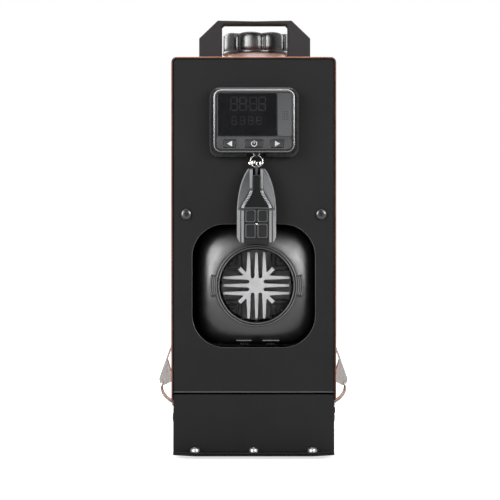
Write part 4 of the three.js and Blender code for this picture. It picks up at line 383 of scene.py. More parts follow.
def dressed(node, bevel=0.35, sharp=32.0, shader=None, trim=None):
    """A smooth copy of a CAD node with its edges broken, which stands for the node.

    trim cuts away what lies in front of that y, in millimetres.
    """
    work = bmesh.new()
    work.from_mesh(NODES[node].data)
    bmesh.ops.remove_doubles(work, verts=work.verts, dist=1e-6)
    if trim is not None:
        whole = list(work.verts) + list(work.edges) + list(work.faces)
        cut = bmesh.ops.bisect_plane(
            work, geom=whole, plane_co=(0, trim * MM, 0), plane_no=(0, -1, 0), clear_outer=True
        )
        rim = [edge for edge in cut["geom_cut"] if isinstance(edge, bmesh.types.BMEdge)]
        bmesh.ops.contextual_create(work, geom=rim)
    flattened(work)
    piece = object_of(node + "_dressed", mesh_of(node + "_skin", work))
    if bevel:
        bevelled(piece, bevel * MM, angle=sharp)
    softened(piece.data, sharp)
    evened(piece)
    slot = SLOT_OF[node]
    return finished(piece, shader or SHADERS[slot], BODY_OF[node], (node,))


def from_rings(name, rings, closed=False, capped=True):
    """A skin through rings of points, each ring with as many points; closed joins last to first."""
    work = bmesh.new()
    rows = [[work.verts.new(point) for point in ring] for ring in rings]
    pairs = list(zip(rows, rows[1:]))
    if closed:
        pairs.append((rows[-1], rows[0]))
    for first, second in pairs:
        for i in range(len(first)):
            j = (i + 1) % len(first)
            work.faces.new((first[i], first[j], second[j], second[i]))
    if capped and not closed:
        work.faces.new(list(reversed(rows[0])))
        work.faces.new(rows[-1])
    return softened(mesh_of(name, work))


def turned(name, profile, centre, axis="Y", steps=96, spread=None, closed=False):
    """Turns (radius, along) points in millimetres about an axis; closed joins the last to the first.

    spread(angle, radius, along) gives the radius of a point where the form isn't round.
    """
    rings = []
    for radius, along in profile:
        ring = []
        for step in range(steps):
            angle = 2 * math.pi * step / steps
            reach = spread(angle, radius, along) if spread else radius
            across, up = reach * math.cos(angle), reach * math.sin(angle)
            local = {"X": (along, across, up), "Y": (across, along, up), "Z": (across, up, along)}
            ring.append(Vector(local[axis]) * MM + Vector(centre) * MM)
        rings.append(ring)
    return object_of(name, from_rings(name, rings, closed=closed))


def rounded(width, height, corner, steps=8):
    """Points round a rectangle with round corners, middle at 0, anticlockwise."""
    points = []
    for turn, (sign_x, sign_y) in enumerate(((1, 1), (-1, 1), (-1, -1), (1, -1))):
        middle = (sign_x * (width / 2 - corner), sign_y * (height / 2 - corner))
        for step in range(steps + 1):
            angle = math.pi / 2 * (turn + step / steps)
            x, y = corner * math.cos(angle), corner * math.sin(angle)
            points.append((middle[0] + x, middle[1] + y))
    return points


def plate(name, outline, low, high, centre=(0, 0, 0), bevel=0.3, axis="Y", sharp=30.0, holes=()):
    """A flat piece: an outline in millimetres, from low to high along an axis, edges broken."""
    curve = bpy.data.curves.new(name, "CURVE")
    curve.dimensions = "2D"
    curve.fill_mode = "BOTH"
    for points in (outline, *holes):
        spline = curve.splines.new("POLY")
        spline.points.add(len(points) - 1)
        for point, (x, y) in zip(spline.points, points):
            point.co = (x * MM, y * MM, 0, 1)
        spline.use_cyclic_u = True
    curve.extrude = (high - low) / 2 * MM
    flat = object_of(name + "_outline", curve)
    mesh = bpy.data.meshes.new_from_object(
        flat.evaluated_get(bpy.context.evaluated_depsgraph_get())
    )
    bpy.data.objects.remove(flat)
    mesh.name = name
    turn = {
        "Y": Matrix.Rotation(math.pi / 2, 4, "X"),
        "X": Matrix.Rotation(math.pi / 2, 4, "Z") @ Matrix.Rotation(math.pi / 2, 4, "X"),
        "Z": Matrix.Identity(4),
    }[axis]
    along = Vector({"X": (1, 0, 0), "Y": (0, 1, 0), "Z": (0, 0, 1)}[axis])
    place = Vector(centre) * MM + along * ((low + high) / 2 * MM)
    mesh.transform(Matrix.Translation(place) @ turn)
    work = bmesh.new()
    work.from_mesh(mesh)
    bmesh.ops.remove_doubles(work, verts=work.verts, dist=1e-6)
    flattened(work)
    work.to_mesh(mesh)
    work.free()
    piece = object_of(name, mesh)
    if bevel:
        bevelled(piece, bevel * MM, angle=sharp)
    softened(piece.data, sharp)
    return evened(piece)


def tube(name, points, radius, sides=16, closed=False):
    """A round wire or pipe through points in millimetres."""
    path = [Vector(point) * MM for point in points]
    count = len(path)
    rings = []
    normal = None
    for i, here in enumerate(path):
        before = path[i - 1] if i or closed else here
        after = path[(i + 1) % count] if i + 1 < count or closed else here
        along = (after - before).normalized()
        if normal is None:
            normal = along.orthogonal().normalized()
        normal = (normal - along * normal.dot(along)).normalized()
        side = along.cross(normal)
        ring = []
        for k in range(sides):
            angle = 2 * math.pi * k / sides
            out = normal * math.cos(angle) + side * math.sin(angle)
            ring.append(here + out * (radius * MM))
        rings.append(ring)
    return object_of(name, from_rings(name, rings, closed=closed))


def arc(centre, radius, start, end, steps, plane=(0, 2)):
    """Points of an arc in millimetres; angles in degrees, in the plane of two axes."""
    points = []
    for step in range(steps + 1):
        angle = math.radians(start + (end - start) * step / steps)
        point = list(centre)
        point[plane[0]] += radius * math.cos(angle)
        point[plane[1]] += radius * math.sin(angle)
        points.append(tuple(point))
    return points


def blended(points, steps=6):
    """A smooth path through a few points (Catmull-Rom)."""
    padded = [points[0], *points, points[-1]]
    path = []
    for a, b, c, d in zip(padded, padded[1:], padded[2:], padded[3:]):
        a, b, c, d = Vector(a), Vector(b), Vector(c), Vector(d)
        for step in range(steps):
            t = step / steps
            second = (2 * a - 5 * b + 4 * c - d) * t * t
            third = (3 * b - a - 3 * c + d) * t**3
            path.append(tuple(0.5 * (2 * b + (c - a) * t + second + third)))
    path.append(tuple(points[-1]))
    return path


# ---------------------------------------------------------------- carried-over nodes

# Inner nodes keep their CAD shape and only get their finish.
KEPT = (
    "base_deck",
    "tank_shelf",
    "cap_gasket",
    "burner_tube",
    "glow_plug",
    "blower_motor",
    "burner_impeller",
    "control_board",
    "suction_hose",
    "link_hose",
    "feed_hose",
)
for node in KEPT:
    NODES[node].data.materials.clear()
    NODES[node].data.materials.append(SHADERS[SLOT_OF[node]].material)

# Nodes shown as a copy with its edges broken: node, millimetres of bevel, and where they differ
# from the usual, the sharp angle and the finish.
DRESSED = (
    ("base_tray", 0.4),
    ("base_front_cover", 0.4),
    ("casing_shell", 0.6, 24),
    ("front_panel", 0.35, 24),
    ("rear_panel", 0.3, 24),
    ("carry_handle", 0.5, 32, HANDLE_BLACK),
    ("fuel_tank", 1.0),
    ("neck_seal", 0.3),
    ("heater_upper_shell", 1.0, 32, SHELL_BLACK),
    ("heater_lower_shell", 0.5, 32, SHELL_BLACK),
    ("heater_inlet_cowl", 0.4, 32, SHELL_BLACK),
    ("fan_wheel", 0.2),
    ("heater_cradle", 0.4),
    ("exhaust_pipe", 0.2, 40, PIPE_STEEL),
    ("combustion_air_pipe", 0.2, 40),
    ("fuel_pump", 0.4),
    ("fuel_filter", 0.3),
    ("controller_back", 0.4),
)
for row in DRESSED:
    dressed(*row)
for _, word in SIDES:
    dressed("latch_bracket_" + word, 0.2)
    dressed("latch_lever_" + word, 0.2)
    dressed("latch_catch_" + word, 0.3)

# ---------------------------------------------------------------- heater unit

# Light grey: painted highlight lines on the outlet's lips, and the lug ribs and dome bars.
EDGE_GREY = moulded("edge_grey", srgb(112, 112, 113), 0.35, 0.1)
# Grey lines along the front panel's edges are painted highlights.
EDGE_HIGHLIGHT_GREY = moulded("painted_edge_highlight", srgb(72, 72, 73), 0.4, 0.1)
RING_BLACK = moulded("ring_black", srgb(40, 40, 41), 0.3, 0.2)
STAR_ALUMINIUM = cast("star_aluminium", srgb(176, 176, 177), 0.5)
# The fins behind the star, painted dark as their shade.
FIN_PAINTED_SHADE = cast("fin_painted_shade", srgb(40, 40, 41), 0.6)
DOME_DEPTH = 36.7
DOME_HALF = 55.0
DOME_WALL = 2.4
RIB_REACH = 32.0  # of the dark ribs, from the unit's axis


def soft_square(half, power, y, steps=120):
    """Points of the shell's cross-section, a soft square round the unit's axis."""
    points = []
    for step in range(steps):
        angle = 2 * math.pi * step / steps
        c, s = math.cos(angle), math.sin(angle)
        x = half * math.copysign(abs(c) ** (2 / power), c)
        z = half * math.copysign(abs(s) ** (2 / power), s)
        points.append(Vector((HEATER_X + x, y, HEATER_Z + z)) * MM)
    return points


def front_shell():
    """The black dome: from the unit's soft square down to the round outlet, and back inside."""
    keys = [
        (1.0, 1.0, 5.0), (0.75, 1.0, 5.0), (0.5, 0.99, 4.6), (0.32, 0.965, 3.8),
        (0.2, 0.925, 3.1), (0.11, 0.87, 2.5), (0.05, 0.81, 2.2), (0.015, 0.745, 2.05),
        (0.0, 0.7, 2.0),
    ]
    outside = []
    for along, share, power in blended(keys, 3):
        outside.append(soft_square(DOME_HALF * share, power, FRONT + 5.0 + DOME_DEPTH * along))
    inside = []
    for along, share, power in reversed(keys[:-1]):
        y = FRONT + 5.0 + DOME_WALL + (DOME_DEPTH - DOME_WALL) * along
        inside.append(soft_square((DOME_HALF - DOME_WALL) * share, power, y))
    hole = [soft_square(36.4, 2.0, FRONT + 5.0), soft_square(36.4, 2.0, FRONT + 8.5)]
    mesh = from_rings("heater_front_dome", outside + hole + inside, closed=True)
    piece = object_of("heater_front_dome", mesh)
    softened(piece.data, 50)
    finished(piece, SHELL_BLACK, "root", ("heater_front_shell",))


def sector(inner, outer, start, end, steps=10):
    """The outline of a piece of a ring."""
    points = []
    for radius, first, last in ((outer, start, end), (inner, end, start)):
        for step in range(steps + 1):
            angle = math.radians(first + (last - first) * step / steps)
            points.append((radius * math.cos(angle), radius * math.sin(angle)))
    return points


def outlet():
    """The duct ring with its double lip, and the ribbed bayonet lug on each side."""
    profile = [
        (36.0, 29.0), (36.0, 4.7), (37.2, 4.5), (37.4, 3.5), (37.0, 3.1), (36.3, 3.1),
        (35.9, 3.8), (35.3, 3.8), (34.9, 3.1), (34.3, 3.1), (33.9, 3.5), (33.8, 4.3),
        (33.8, 29.0),
    ]
    centre = (HEATER_X, FRONT, HEATER_Z)
    piece = turned("outlet_duct", profile, centre, steps=120, closed=True)
    softened(piece.data, 50)
    finished(piece, RING_BLACK, "root", ("outlet_ring",))
    # The two light grey lines round the lips are painted highlights.
    for name, radius in (("outer", 36.6), ("inner", 34.4)):
        path = arc((HEATER_X, FRONT + 3.25, HEATER_Z), radius, 0, 357, 119)
        line = tube("outlet_line_" + name, path, 0.3, 8, closed=True)
        finished(line, EDGE_GREY, "root")
    for side, middle in (("left", 180), ("right", 0)):
        lug = plate(
            "outlet_lug_" + side, sector(37.3, 42.6, middle - 14, middle + 14), 3.4, 5.6, centre
        )
        finished(lug, RING_BLACK, "root")
        for index, radius in enumerate((38.4, 40.0, 41.8)):
            path = arc((HEATER_X, FRONT + 3.3, HEATER_Z), radius, middle - 12, middle + 12, 12)
            rib = tube("outlet_rib_%s_%d" % (side, index), path, 0.34, 8)
            finished(rib, EDGE_GREY, "root")


def star_outline():
    """The fin ends seen from the front: three fingers each way and one on each diagonal."""
    pitch, reach, tip = 7.1, 30.3, 1.15
    root, bend = 8.3, 1.7
    quarter = [(12.2, -9.9), (12.9, -9.2), (14.2, -9.05)]
    for offset in (-pitch, 0, pitch):
        quarter += [(reach - 0.4, offset - tip), (reach, offset - tip + 0.4)]
        quarter += [(reach, offset + tip - 0.4), (reach - 0.4, offset + tip)]
        if offset < pitch:
            for degrees in range(-90, -271, -30):
                angle = math.radians(degrees)
                x, z = root + bend * math.cos(angle), bend * math.sin(angle)
                quarter.append((x, offset + pitch / 2 + z))
    quarter += [(14.2, 9.05), (12.9, 9.2), (12.2, 9.9), (16.9, 14.3), (14.3, 16.9)]
    points = []
    for turn in range(4):
        for x, z in quarter:
            for _ in range(turn):
                x, z = -z, x
            points.append((x, z))
    return points


def exchanger():
    """The drum with its bright star in front and, between the star's arms, ribs painted dark as shade.
    """
    dressed("heat_exchanger", bevel=0.3, trim=-147.5)
    centre = (HEATER_X, FRONT, HEATER_Z)
    star = plate("exchanger_star", star_outline(), 14.0, 47.6, centre, bevel=0.25)
    finished(star, STAR_ALUMINIUM, "root")
    for turn in range(4):
        for index, inset in enumerate((13.2, 17.4, 21.6)):
            far = math.sqrt(RIB_REACH**2 - inset**2)
            ell = [
                (inset, inset), (far, inset), (far, inset + 1.1), (inset + 1.1, inset + 1.1),
                (inset + 1.1, far), (inset, far),
            ]
            for _ in range(turn):
                ell = [(-z, x) for x, z in ell]
            rib = plate("exchanger_rib_%d_%d" % (turn, index), ell, 27.0, 47.4, centre, bevel=0.1)
            finished(rib, FIN_PAINTED_SHADE, "root")


def mould_marks():
    """Two raised bars with small vents under them, on the dome's lower edge."""
    for index, (left, right) in enumerate(((-15.9, -1.9), (8.1, 23.4))):
        bar = plate(
            "dome_bar_%d" % index, [(left, -0.45), (right, -0.45), (right, 0.45), (left, 0.45)],
            0, 9.0, (0, FRONT + 9.5, 106.3), bevel=0.15,
        )
        finished(bar, EDGE_GREY, "root")
        for step in range(4):
            x = left + 4.0 + 2.0 * step
            rib = plate(
                "dome_vent_%d_%d" % (index, step),
                [(x, -0.7), (x + 1.0, -0.7), (x + 1.0, 0.7), (x, 0.7)],
                0, 9.0, (0, FRONT + 14.5, 102.9), bevel=0.12,
            )
            finished(rib, RING_BLACK, "root")


def window_edge():
    """Painted highlight lines along the panel's edges: round its window and along its foot."""
    points = [(x, FRONT + 0.35, HEATER_Z + z) for x, z in rounded(112.3, 112.4, 30.0, 16)]
    line = tube("window_edge", points, 0.26, 8, closed=True)
    finished(line, EDGE_HIGHLIGHT_GREY, "root")
    hem_highlight = plate(
        "panel_hem", [(-73, 59.5), (73, 59.5), (73, 60.5), (-73, 60.5)], FRONT - 0.12, FRONT + 0.5,
        bevel=0.1,
    )
    finished(hem_highlight, EDGE_HIGHLIGHT_GREY, "root")


front_shell()
window_edge()
outlet()
exchanger()
mould_marks()

# ---------------------------------------------------------------- fuel cap

CAP_X = 3.1
CAP_Y = 5.0
CAP_LOBES = 8
CAP_TURN = math.radians(10.0)
GROOVE_HALF = 0.045  # share of a lobe's pitch
GROOVE_EDGE = 0.012
GRIP_FOOT = 388.4
CAP_BLACK = moulded("cap_black", srgb(24, 24, 26), 0.27, 0.15)
CAP_BLACK.set(Specular_IOR_Level=1.0)


def off_groove(angle):
    """How far an angle is from the nearest groove, as a share of the pitch: 0 to 0.5."""
    wave = CAP_LOBES * (angle - CAP_TURN) / (2 * math.pi)
    return abs(wave - round(wave))


def cap_spread(angle, radius, along):
    """Lobes between round-edged grooves, on the cap's grip only."""
    if along < GRIP_FOOT or radius < 12:
        return radius
    away = off_groove(angle)
    groove = 1 / (1 + math.exp((away - GROOVE_HALF) / GROOVE_EDGE))
    shoulder = math.exp(-(((away - 2.1 * GROOVE_HALF) / 0.03) ** 2))
    bulge = 0.5 * (1 - 2 * away) ** 2
    return radius - 1.7 * groove - bulge - 0.25 * shoulder


def scalloped(mesh):
    """Arches the top edge of each lobe, lowest at the grooves."""
    for vertex in mesh.vertices:
        x, y, z = vertex.co / MM
        reach = min(1.0, max(0.0, (math.hypot(x - CAP_X, y - CAP_Y) - 16) / 12))
        rise = min(1.0, max(0.0, (z - 397) / 8))
        away = off_groove(math.atan2(y - CAP_Y, x - CAP_X))
        vertex.co.z -= 1.6 * reach * rise * (1 - 2 * away) ** 2 * MM


def fuel_cap():
    profile = [
        (0.05, 404.0), (29.4, 404.0), (29.4, 385.4), (33.8, 385.4), (34.2, 385.8),
        (34.2, 387.9), (33.8, 388.3), (33.3, 388.5), (33.6, 388.9), (33.9, 392.0),
        (33.9, 400.0), (33.8, 404.2), (33.5, 405.1), (32.9, 405.8), (31.6, 406.2),
        (16.0, 406.4), (6.4, 406.4), (6.0, 406.8), (6.0, 407.3), (5.7, 407.6), (0.05, 407.6),
    ]
    piece = turned("cap", profile, (CAP_X, CAP_Y, 0.0), axis="Z", steps=640, spread=cap_spread)
    scalloped(piece.data)
    softened(piece.data, 60)
    finished(piece, CAP_BLACK, "cap", ("fuel_cap",))


fuel_cap()

# ---------------------------------------------------------------- wall controller

CONTROL_X = 0.3
CONTROL_Z = 304.5
FACE_Y = -212.5
BUTTONS = {"left": (-21.9, 10.6), "power": (0.0, 15.7), "right": (20.9, 11.2)}
BUTTON_Z = 284.7
DOT_PITCH = 1.45
DOT_RADIUS = 0.45
# Painted light on the bezel: its bright line is a painted highlight, brighter at the top, and the bezel
# is painted lighter at the top and darker at the bottom as light falls from above.
BEZEL_HIGHLIGHT = graded("bezel_painted_highlight", srgb(120, 121, 123), srgb(214, 215, 217), 280, 318, 0.25)
BEZEL_GREY_LIT = graded("bezel_grey_painted_light", srgb(40, 40, 42), srgb(84, 85, 87), 290, 330, 0.3)
FACE_GREY = moulded("face_dark", srgb(34, 34, 36), 0.4)
SCREEN_BLACK = moulded("screen_black", srgb(20, 20, 22), 0.12, 0.02)
STRIP_GREY = graded("strip_grey", srgb(72, 73, 75), srgb(54, 55, 57), 292, 330, 0.45)
BAR_GREY = moulded("bar_grey", srgb(58, 59, 61), 0.4)
DOT_DARK = moulded("dot_dark", srgb(16, 16, 17), 0.6)
DIGIT_GREY = moulded("digit_grey", srgb(29, 29, 31), 0.25, 0.02)
KEY_BLACK = moulded("key_black", srgb(32, 32, 34), 0.4)
MARK_GREY = moulded("mark_grey", srgb(204, 204, 204), 0.5, 0.05)


def square(width, height, x=0.0, z=0.0, corner=0.3):
    return [(x + u, z + v) for u, v in rounded(width, height, corner, 4)]


def flat_marks(name, outlines, y, body, shader):
    """Thin printed marks, all in one piece: outlines in x and z, in millimetres."""
    work = bmesh.new()
    for outline in outlines:
        work.faces.new([work.verts.new(Vector((x, y, z)) * MM) for x, z in outline])
    mesh = mesh_of(name, work)
    for face in mesh.polygons:
        if face.normal.y > 0:
            face.flip()
    return finished(object_of(name, mesh), shader, body)


def digit_eight(x, z, width, height, stroke):
    """The seven bars of a dark display digit, its lower left corner at x, z."""
    bars = []
    for level in (0, 0.5, 1):
        middle = z + stroke / 2 + (height - stroke) * level
        bars.append(square(width - 1.6 * stroke, stroke, x + width / 2, middle, stroke * 0.4))
    for across in (stroke / 2, width - stroke / 2):
        for level in (0.27, 0.73):
            tall = height / 2 - 1.1 * stroke
            bars.append(square(stroke, tall, x + across, z + height * level, stroke * 0.4))
    return bars


def controller():
    x, y, z = CONTROL_X, FACE_Y, CONTROL_Z + 0.8
    bezel = plate(
        "bezel", rounded(73.0, 56.6, 6.8, 12), y - 0.8, y + 6.2, (x, 0, z), bevel=0.85,
        sharp=40, holes=(rounded(68.8, 52.4, 4.7, 12),),
    )
    finished(bezel, BEZEL_GREY_LIT, "root", ("controller_bezel",))
    # A painted highlight along the bezel's outer front edge.
    path = [(x + u, y - 0.45, z + v) for u, v in rounded(72.0, 55.6, 6.3, 12)]
    line = tube("bezel_line", path, 0.5, 10, closed=True)
    finished(line, BEZEL_HIGHLIGHT, "root")
    dressed("controller_face", 0.15, shader=FACE_GREY)
    dressed("controller_screen", 0.15, shader=SCREEN_BLACK)
    strip = plate(
        "face_strip", square(12.6, 38.6, 28.0, 310.9, 1.5), y - 0.25, y + 0.5, bevel=0.2
    )
    finished(strip, STRIP_GREY, "root")
    holes = [
        square(width + 0.8, 7.4, x + place, BUTTON_Z, 1.0) for place, width in BUTTONS.values()
    ]
    bar = plate(
        "face_bar", square(67.6, 11.2, x, 285.4, 3.4), y - 0.25, y + 0.5, bevel=0.2, holes=holes
    )
    finished(bar, BAR_GREY, "root")
    speaker_dots()
    screen_digits()


def speaker_dots():
    dots = []
    for row in range(6):
        for column in range(4):
            x, z = 26.2 + DOT_PITCH * column, 306.4 + DOT_PITCH * row
            ring = arc((x, 0, z), DOT_RADIUS, 0, 315, 7)
            dots.append([(across, up) for across, _, up in ring])
    flat_marks("speaker_dots", dots, FACE_Y - 0.27, "root", DOT_DARK)


def screen_digits():
    """The unlit digits of the dark screen: four large ones over four small ones."""
    digits = []
    for index, start in enumerate((-21.2, -13.2, -3.9, 4.1)):
        digits += digit_eight(start, 314.2, 6.9, 12.8, 1.1)
        digits += digit_eight(-20.0 + 7.4 * index, 301.6, 4.9, 7.6, 0.75)
    for height in (318.0, 323.0):
        digits.append(square(1.1, 1.1, -5.1, height, 0.3))
    flat_marks("screen_digits", digits, FACE_Y - 0.23, "root", DIGIT_GREY)


def controller_buttons():
    """The three keys with their marks: an arrow each way and the power sign."""
    for name, (place, _) in BUTTONS.items():
        node = "controller_button_" + name
        dressed(node, 0.45, shader=KEY_BLACK)
        middle = CONTROL_X + place
        if name == "power":
            sign = sector(1.975, 2.725, 125, 415, 20)
            marks = [[(middle + x, BUTTON_Z + z) for x, z in sign]]
            marks.append(square(0.75, 2.9, middle, BUTTON_Z + 1.5, 0.2))
        else:
            side = -1 if name == "left" else 1
            tip = middle + side * 2.4
            back = middle - side * 2.1
            marks = [[(tip, BUTTON_Z), (back, BUTTON_Z + 2.6), (back, BUTTON_Z - 2.6)]]
        flat_marks(
            "mark_" + name, marks, FACE_Y - 0.93, BODY_OF[node], MARK_GREY
        )


controller()
controller_buttons()

# ---------------------------------------------------------------- key ring and remote

HANG_X = 2.5
HANG_Y = -203.0
REMOTE_Z = 262.9
REMOTE_FRONT = -209.0
GUIDE_WIDTH = 1.8  # of the slot that the cover's tongue runs in
GUIDE_END = -49.6
COVER_FRONT = -212.0
# Silver trim on each side: name, right-hand outline, millimetres proud of the front, bevel.
REMOTE_TRIM = (
    ("pillar", [(3.6, -0.6), (6.1, -1.4), (6.1, -18.9), (3.6, -18.3)], 0.85, 0.35),
    ("band", [(14.9, -37.6), (17.6, -38.6), (17.6, -62.6), (15.3, -66.8), (14.9, -66.8)], 0.7, 0.3),
    ("bar", [(11.5, -38.4), (13.6, -38.4), (13.6, -67.0), (11.5, -67.0)], 0.8, 0.3),
)
KEYS = ((-5.45, -43.2, 11.2), (5.45, -43.2, 11.2), (-5.45, -56.6, 12.6), (5.45, -56.6, 12.6))
RING_STEEL = brushed("ring_steel", srgb(214, 212, 208), 0.18, (8, 8, 8))
REMOTE_GREY = moulded("remote_grey", srgb(72, 73, 75), 0.35)
COVER_CURVE = ((4.6, -19.6), (5.5, -22.6), (7.6, -26.6), (10.3, -30.8), (12.1, -34.2), (12.6, -36.2))
REMOTE_SILVER = moulded("remote_silver", srgb(140, 141, 143), 0.3, 0.1)
REMOTE_LIGHT = moulded("remote_light", srgb(214, 215, 217), 0.3, 0.1)
REMOTE_DARK = moulded("remote_dark", srgb(96, 97, 99), 0.35, 0.1)
# Painted light and shade: one silver plastic, the left wing painted darker and the right lighter, each
# lighter towards the bottom, as light falls on the slanted wings.
WINGS_PAINTED_LIGHT = {
    -1: graded("wing_left_painted_shade", srgb(104, 105, 107), srgb(66, 67, 69), 226, 258, 0.3),
    1: graded("wing_right_painted_light", srgb(132, 133, 135), srgb(104, 105, 107), 226, 258, 0.3),
}
FIELD_BLACK = moulded("field_black", srgb(18, 18, 19), 0.4, 0.3)
FIELD_BLACK.set(Specular_IOR_Level=0.3)
COVER_BLACK = moulded("cover_black", srgb(14, 15, 16), 0.5, 0.3)
COVER_BLACK.set(Specular_IOR_Level=0.12)
KEY_RIM = moulded("key_rim", srgb(92, 93, 95), 0.4)


def local(points, side=1):
    """Points drawn from the remote's top middle, in millimetres; side -1 mirrors them."""
    placed = [(HANG_X + side * x, REMOTE_Z + z) for x, z in points]
    return placed if side > 0 else placed[::-1]


def remote_edge(depth, inset=0.0):
    """Half the remote's width at a depth under its top."""
    share = max(0.0, 41.0 - depth) / 44.4
    return 17.75 * math.sqrt(1 - share * share) - inset


def key_ring():
    centre = (HANG_X, HANG_Y, 269.4)
    hoop = tube("ring_hoop", arc(centre, 5.5, 0, 352.5, 47), 0.75, 12, closed=True)
    finished(hoop, RING_STEEL, "ring", ("key_ring",))
    hook = [
        (HANG_X + 0.2, -203.0, 274.0), (HANG_X - 2.2, -203.6, 275.4), (HANG_X - 3.4, -203.4, 278.6),
        (HANG_X - 3.2, -202.4, 281.2),
    ]
    coil = tube("ring_coil", arc((HANG_X, HANG_Y - 1.2, 269.4), 5.4, 20, 330, 40), 0.6, 10)
    finished(coil, RING_STEEL, "ring")
    knots = ((-5.4, 267.6, 1.4), (-2.6, 268.3, 1.1), (1.6, 266.9, 1.6), (4.6, 267.7, 1.3))
    for index, (x, z, size) in enumerate(knots):
        knot = arc((HANG_X + x, HANG_Y - 1.6, z), size, 0, 345, 23)
        link = tube("ring_link_%d" % index, knot, 0.5, 10, closed=True)
        finished(link, RING_STEEL, "ring")
    for side, word in SIDES:
        path = [(HANG_X + side * (x - HANG_X), y, z) for x, y, z in blended(hook, 5)]
        strand = tube("ring_strand_" + word, path, 0.6, 10)
        finished(strand, RING_STEEL, "root")


def remote():
    dressed("remote_body", 0.5, shader=REMOTE_GREY)
    front = REMOTE_FRONT
    for side, word in SIDES:
        rim = [
            (HANG_X + side * remote_edge(depth, 0.65), front - 0.1, REMOTE_Z - depth)
            for depth in range(1, 42, 2)
        ]
        wire = tube("remote_rim_" + word, rim, 0.6, 10)
        finished(wire, REMOTE_SILVER, "remote")
        for part, outline, proud, bevel in REMOTE_TRIM:
            name = "remote_%s_%s" % (part, word)
            trim = plate(name, local(outline, side), front - proud, front + 1.0, bevel=bevel)
            finished(trim, REMOTE_SILVER, "remote")
        wing = [(6.6, -3.0), (remote_edge(8, 1.4), -8.0), (remote_edge(14, 1.4), -14.0)]
        wing += [(remote_edge(depth, 1.4), -float(depth)) for depth in (20, 26, 32, 36)]
        wing += [(15.4, -36.4), (6.6, -20.4)]
        # Each wing gets its painted light and shade.
        panel = plate(
            "remote_wing_" + word, local(wing, side), front - 0.3, front + 1.0, bevel=0.25
        )
        finished(panel, WINGS_PAINTED_LIGHT[side], "remote")
    holes = [local(square(9.6, tall + 0.6, x, z, 1.3)) for x, z, tall in KEYS]
    edge = square(22.2, 31.0, 0, -52.9, 1.2)
    top = max(z for _, z in edge)
    half = GUIDE_WIDTH / 2
    guide = [(half, top), (half, GUIDE_END), (-half, GUIDE_END), (-half, top)]
    left = next(i for i, (x, z) in enumerate(edge) if x < 0 and z == top)
    field = plate(
        "remote_field", local(edge[:left] + guide + edge[left:]), front - 0.1, front + 1.0,
        bevel=0.08, holes=holes,
    )
    finished(field, FIELD_BLACK, "remote")
    stud = turned(
        "remote_stud", [(0.75, 0.3), (0.75, -0.08), (0.5, -0.2), (0.05, -0.22)],
        (HANG_X, front, REMOTE_Z + GUIDE_END - 0.9), steps=20,
    )
    finished(stud, RING_STEEL, "remote")
    lip = plate(
        "remote_chin", local(square(20.4, 2.6, 0, -66.6, 0.6)), front - 0.75, front + 1.0, bevel=0.3
    )
    finished(lip, FIELD_BLACK, "remote")


def remote_keys():
    for index, (x, z, tall) in enumerate(KEYS):
        node = "remote_button_%d" % (index + 1)
        dressed(node, 0.35, shader=KEY_RIM)
        inset = plate(
            "key_face_%d" % (index + 1), local(square(7.7, tall - 1.3, x, z, 1.6)),
            REMOTE_FRONT - 0.6, REMOTE_FRONT - 0.1, bevel=0.12,
        )
        finished(inset, FIELD_BLACK, BODY_OF[node])


def remote_cover():
    """The black sliding cover, with light saw-tooth ribs down its slanted edges."""
    dressed("remote_cover", 0.3, shader=COVER_BLACK)
    front = COVER_FRONT
    for side, word in SIDES:
        middle = blended([(x, z, 0.0) for x, z in COVER_CURVE], 6)
        inner = [(x - 1.25, z) for x, z, _ in middle]
        outer = [(x + 1.25, z) for x, z, _ in middle]
        strip = plate(
            "cover_strip_" + word, local(inner + outer[::-1], side), front - 0.25, front + 0.6,
            bevel=0.2,
        )
        finished(strip, REMOTE_DARK, "remote_slide")
        for index in range(3, len(middle) - 2, 2):
            x, z, _ = middle[index]
            tooth = [(x - 1.5, z - 0.42), (x + 1.0, z + 0.12), (x + 1.4, z - 0.32), (x - 1.1, z - 0.8)]
            rib = plate(
                "cover_rib_%s_%d" % (word, index), local(tooth, side), front - 0.6, front + 0.2,
                bevel=0.12,
            )
            finished(rib, REMOTE_LIGHT, "remote_slide")
    line = plate(
        "cover_line", local(square(21.0, 0.5, 0, -35.9, 0.2)), front - 0.12, front + 0.6, bevel=0.1
    )
    finished(line, KEY_RIM, "remote_slide")


key_ring()
remote()
remote_keys()
remote_cover()

# ---------------------------------------------------------------- screws, latches, gland and feet


def crossed(piece, place, axis, reach, depth, width=0.9):
    """Cuts a Phillips recess into a screw head, at place in millimetres."""
    for turn in (0, 90):
        work = bmesh.new()
        bmesh.ops.create_cube(work, size=1.0)
        for vert in work.verts:
            low = vert.co.z < 0
            vert.co.x *= 2 * reach * (0.45 if low else 1.0)
            vert.co.y *= width * (0.6 if low else 1.0)
            vert.co.z *= 2 * depth
        tool = object_of("recess", mesh_of("recess", work))
        face = {
            "X": Matrix.Rotation(math.copysign(math.pi / 2, place[0]), 4, "Y"),
            "Y": Matrix.Rotation(math.pi / 2, 4, "X"),
            "Z": Matrix.Identity(4),
        }[axis]
        spin = Matrix.Rotation(math.radians(turn + 20), 4, "Z")
        placed = Matrix.Translation(Vector(place) * MM) @ face @ spin @ Matrix.Scale(MM, 4)
        tool.data.transform(placed)
        modifier = piece.modifiers.new("recess", "BOOLEAN")
        modifier.object = tool
        modifier.operation = "DIFFERENCE"
        modifier.solver = "EXACT"
        applied(piece)
        bpy.data.objects.remove(tool)
    softened(piece.data, 30)


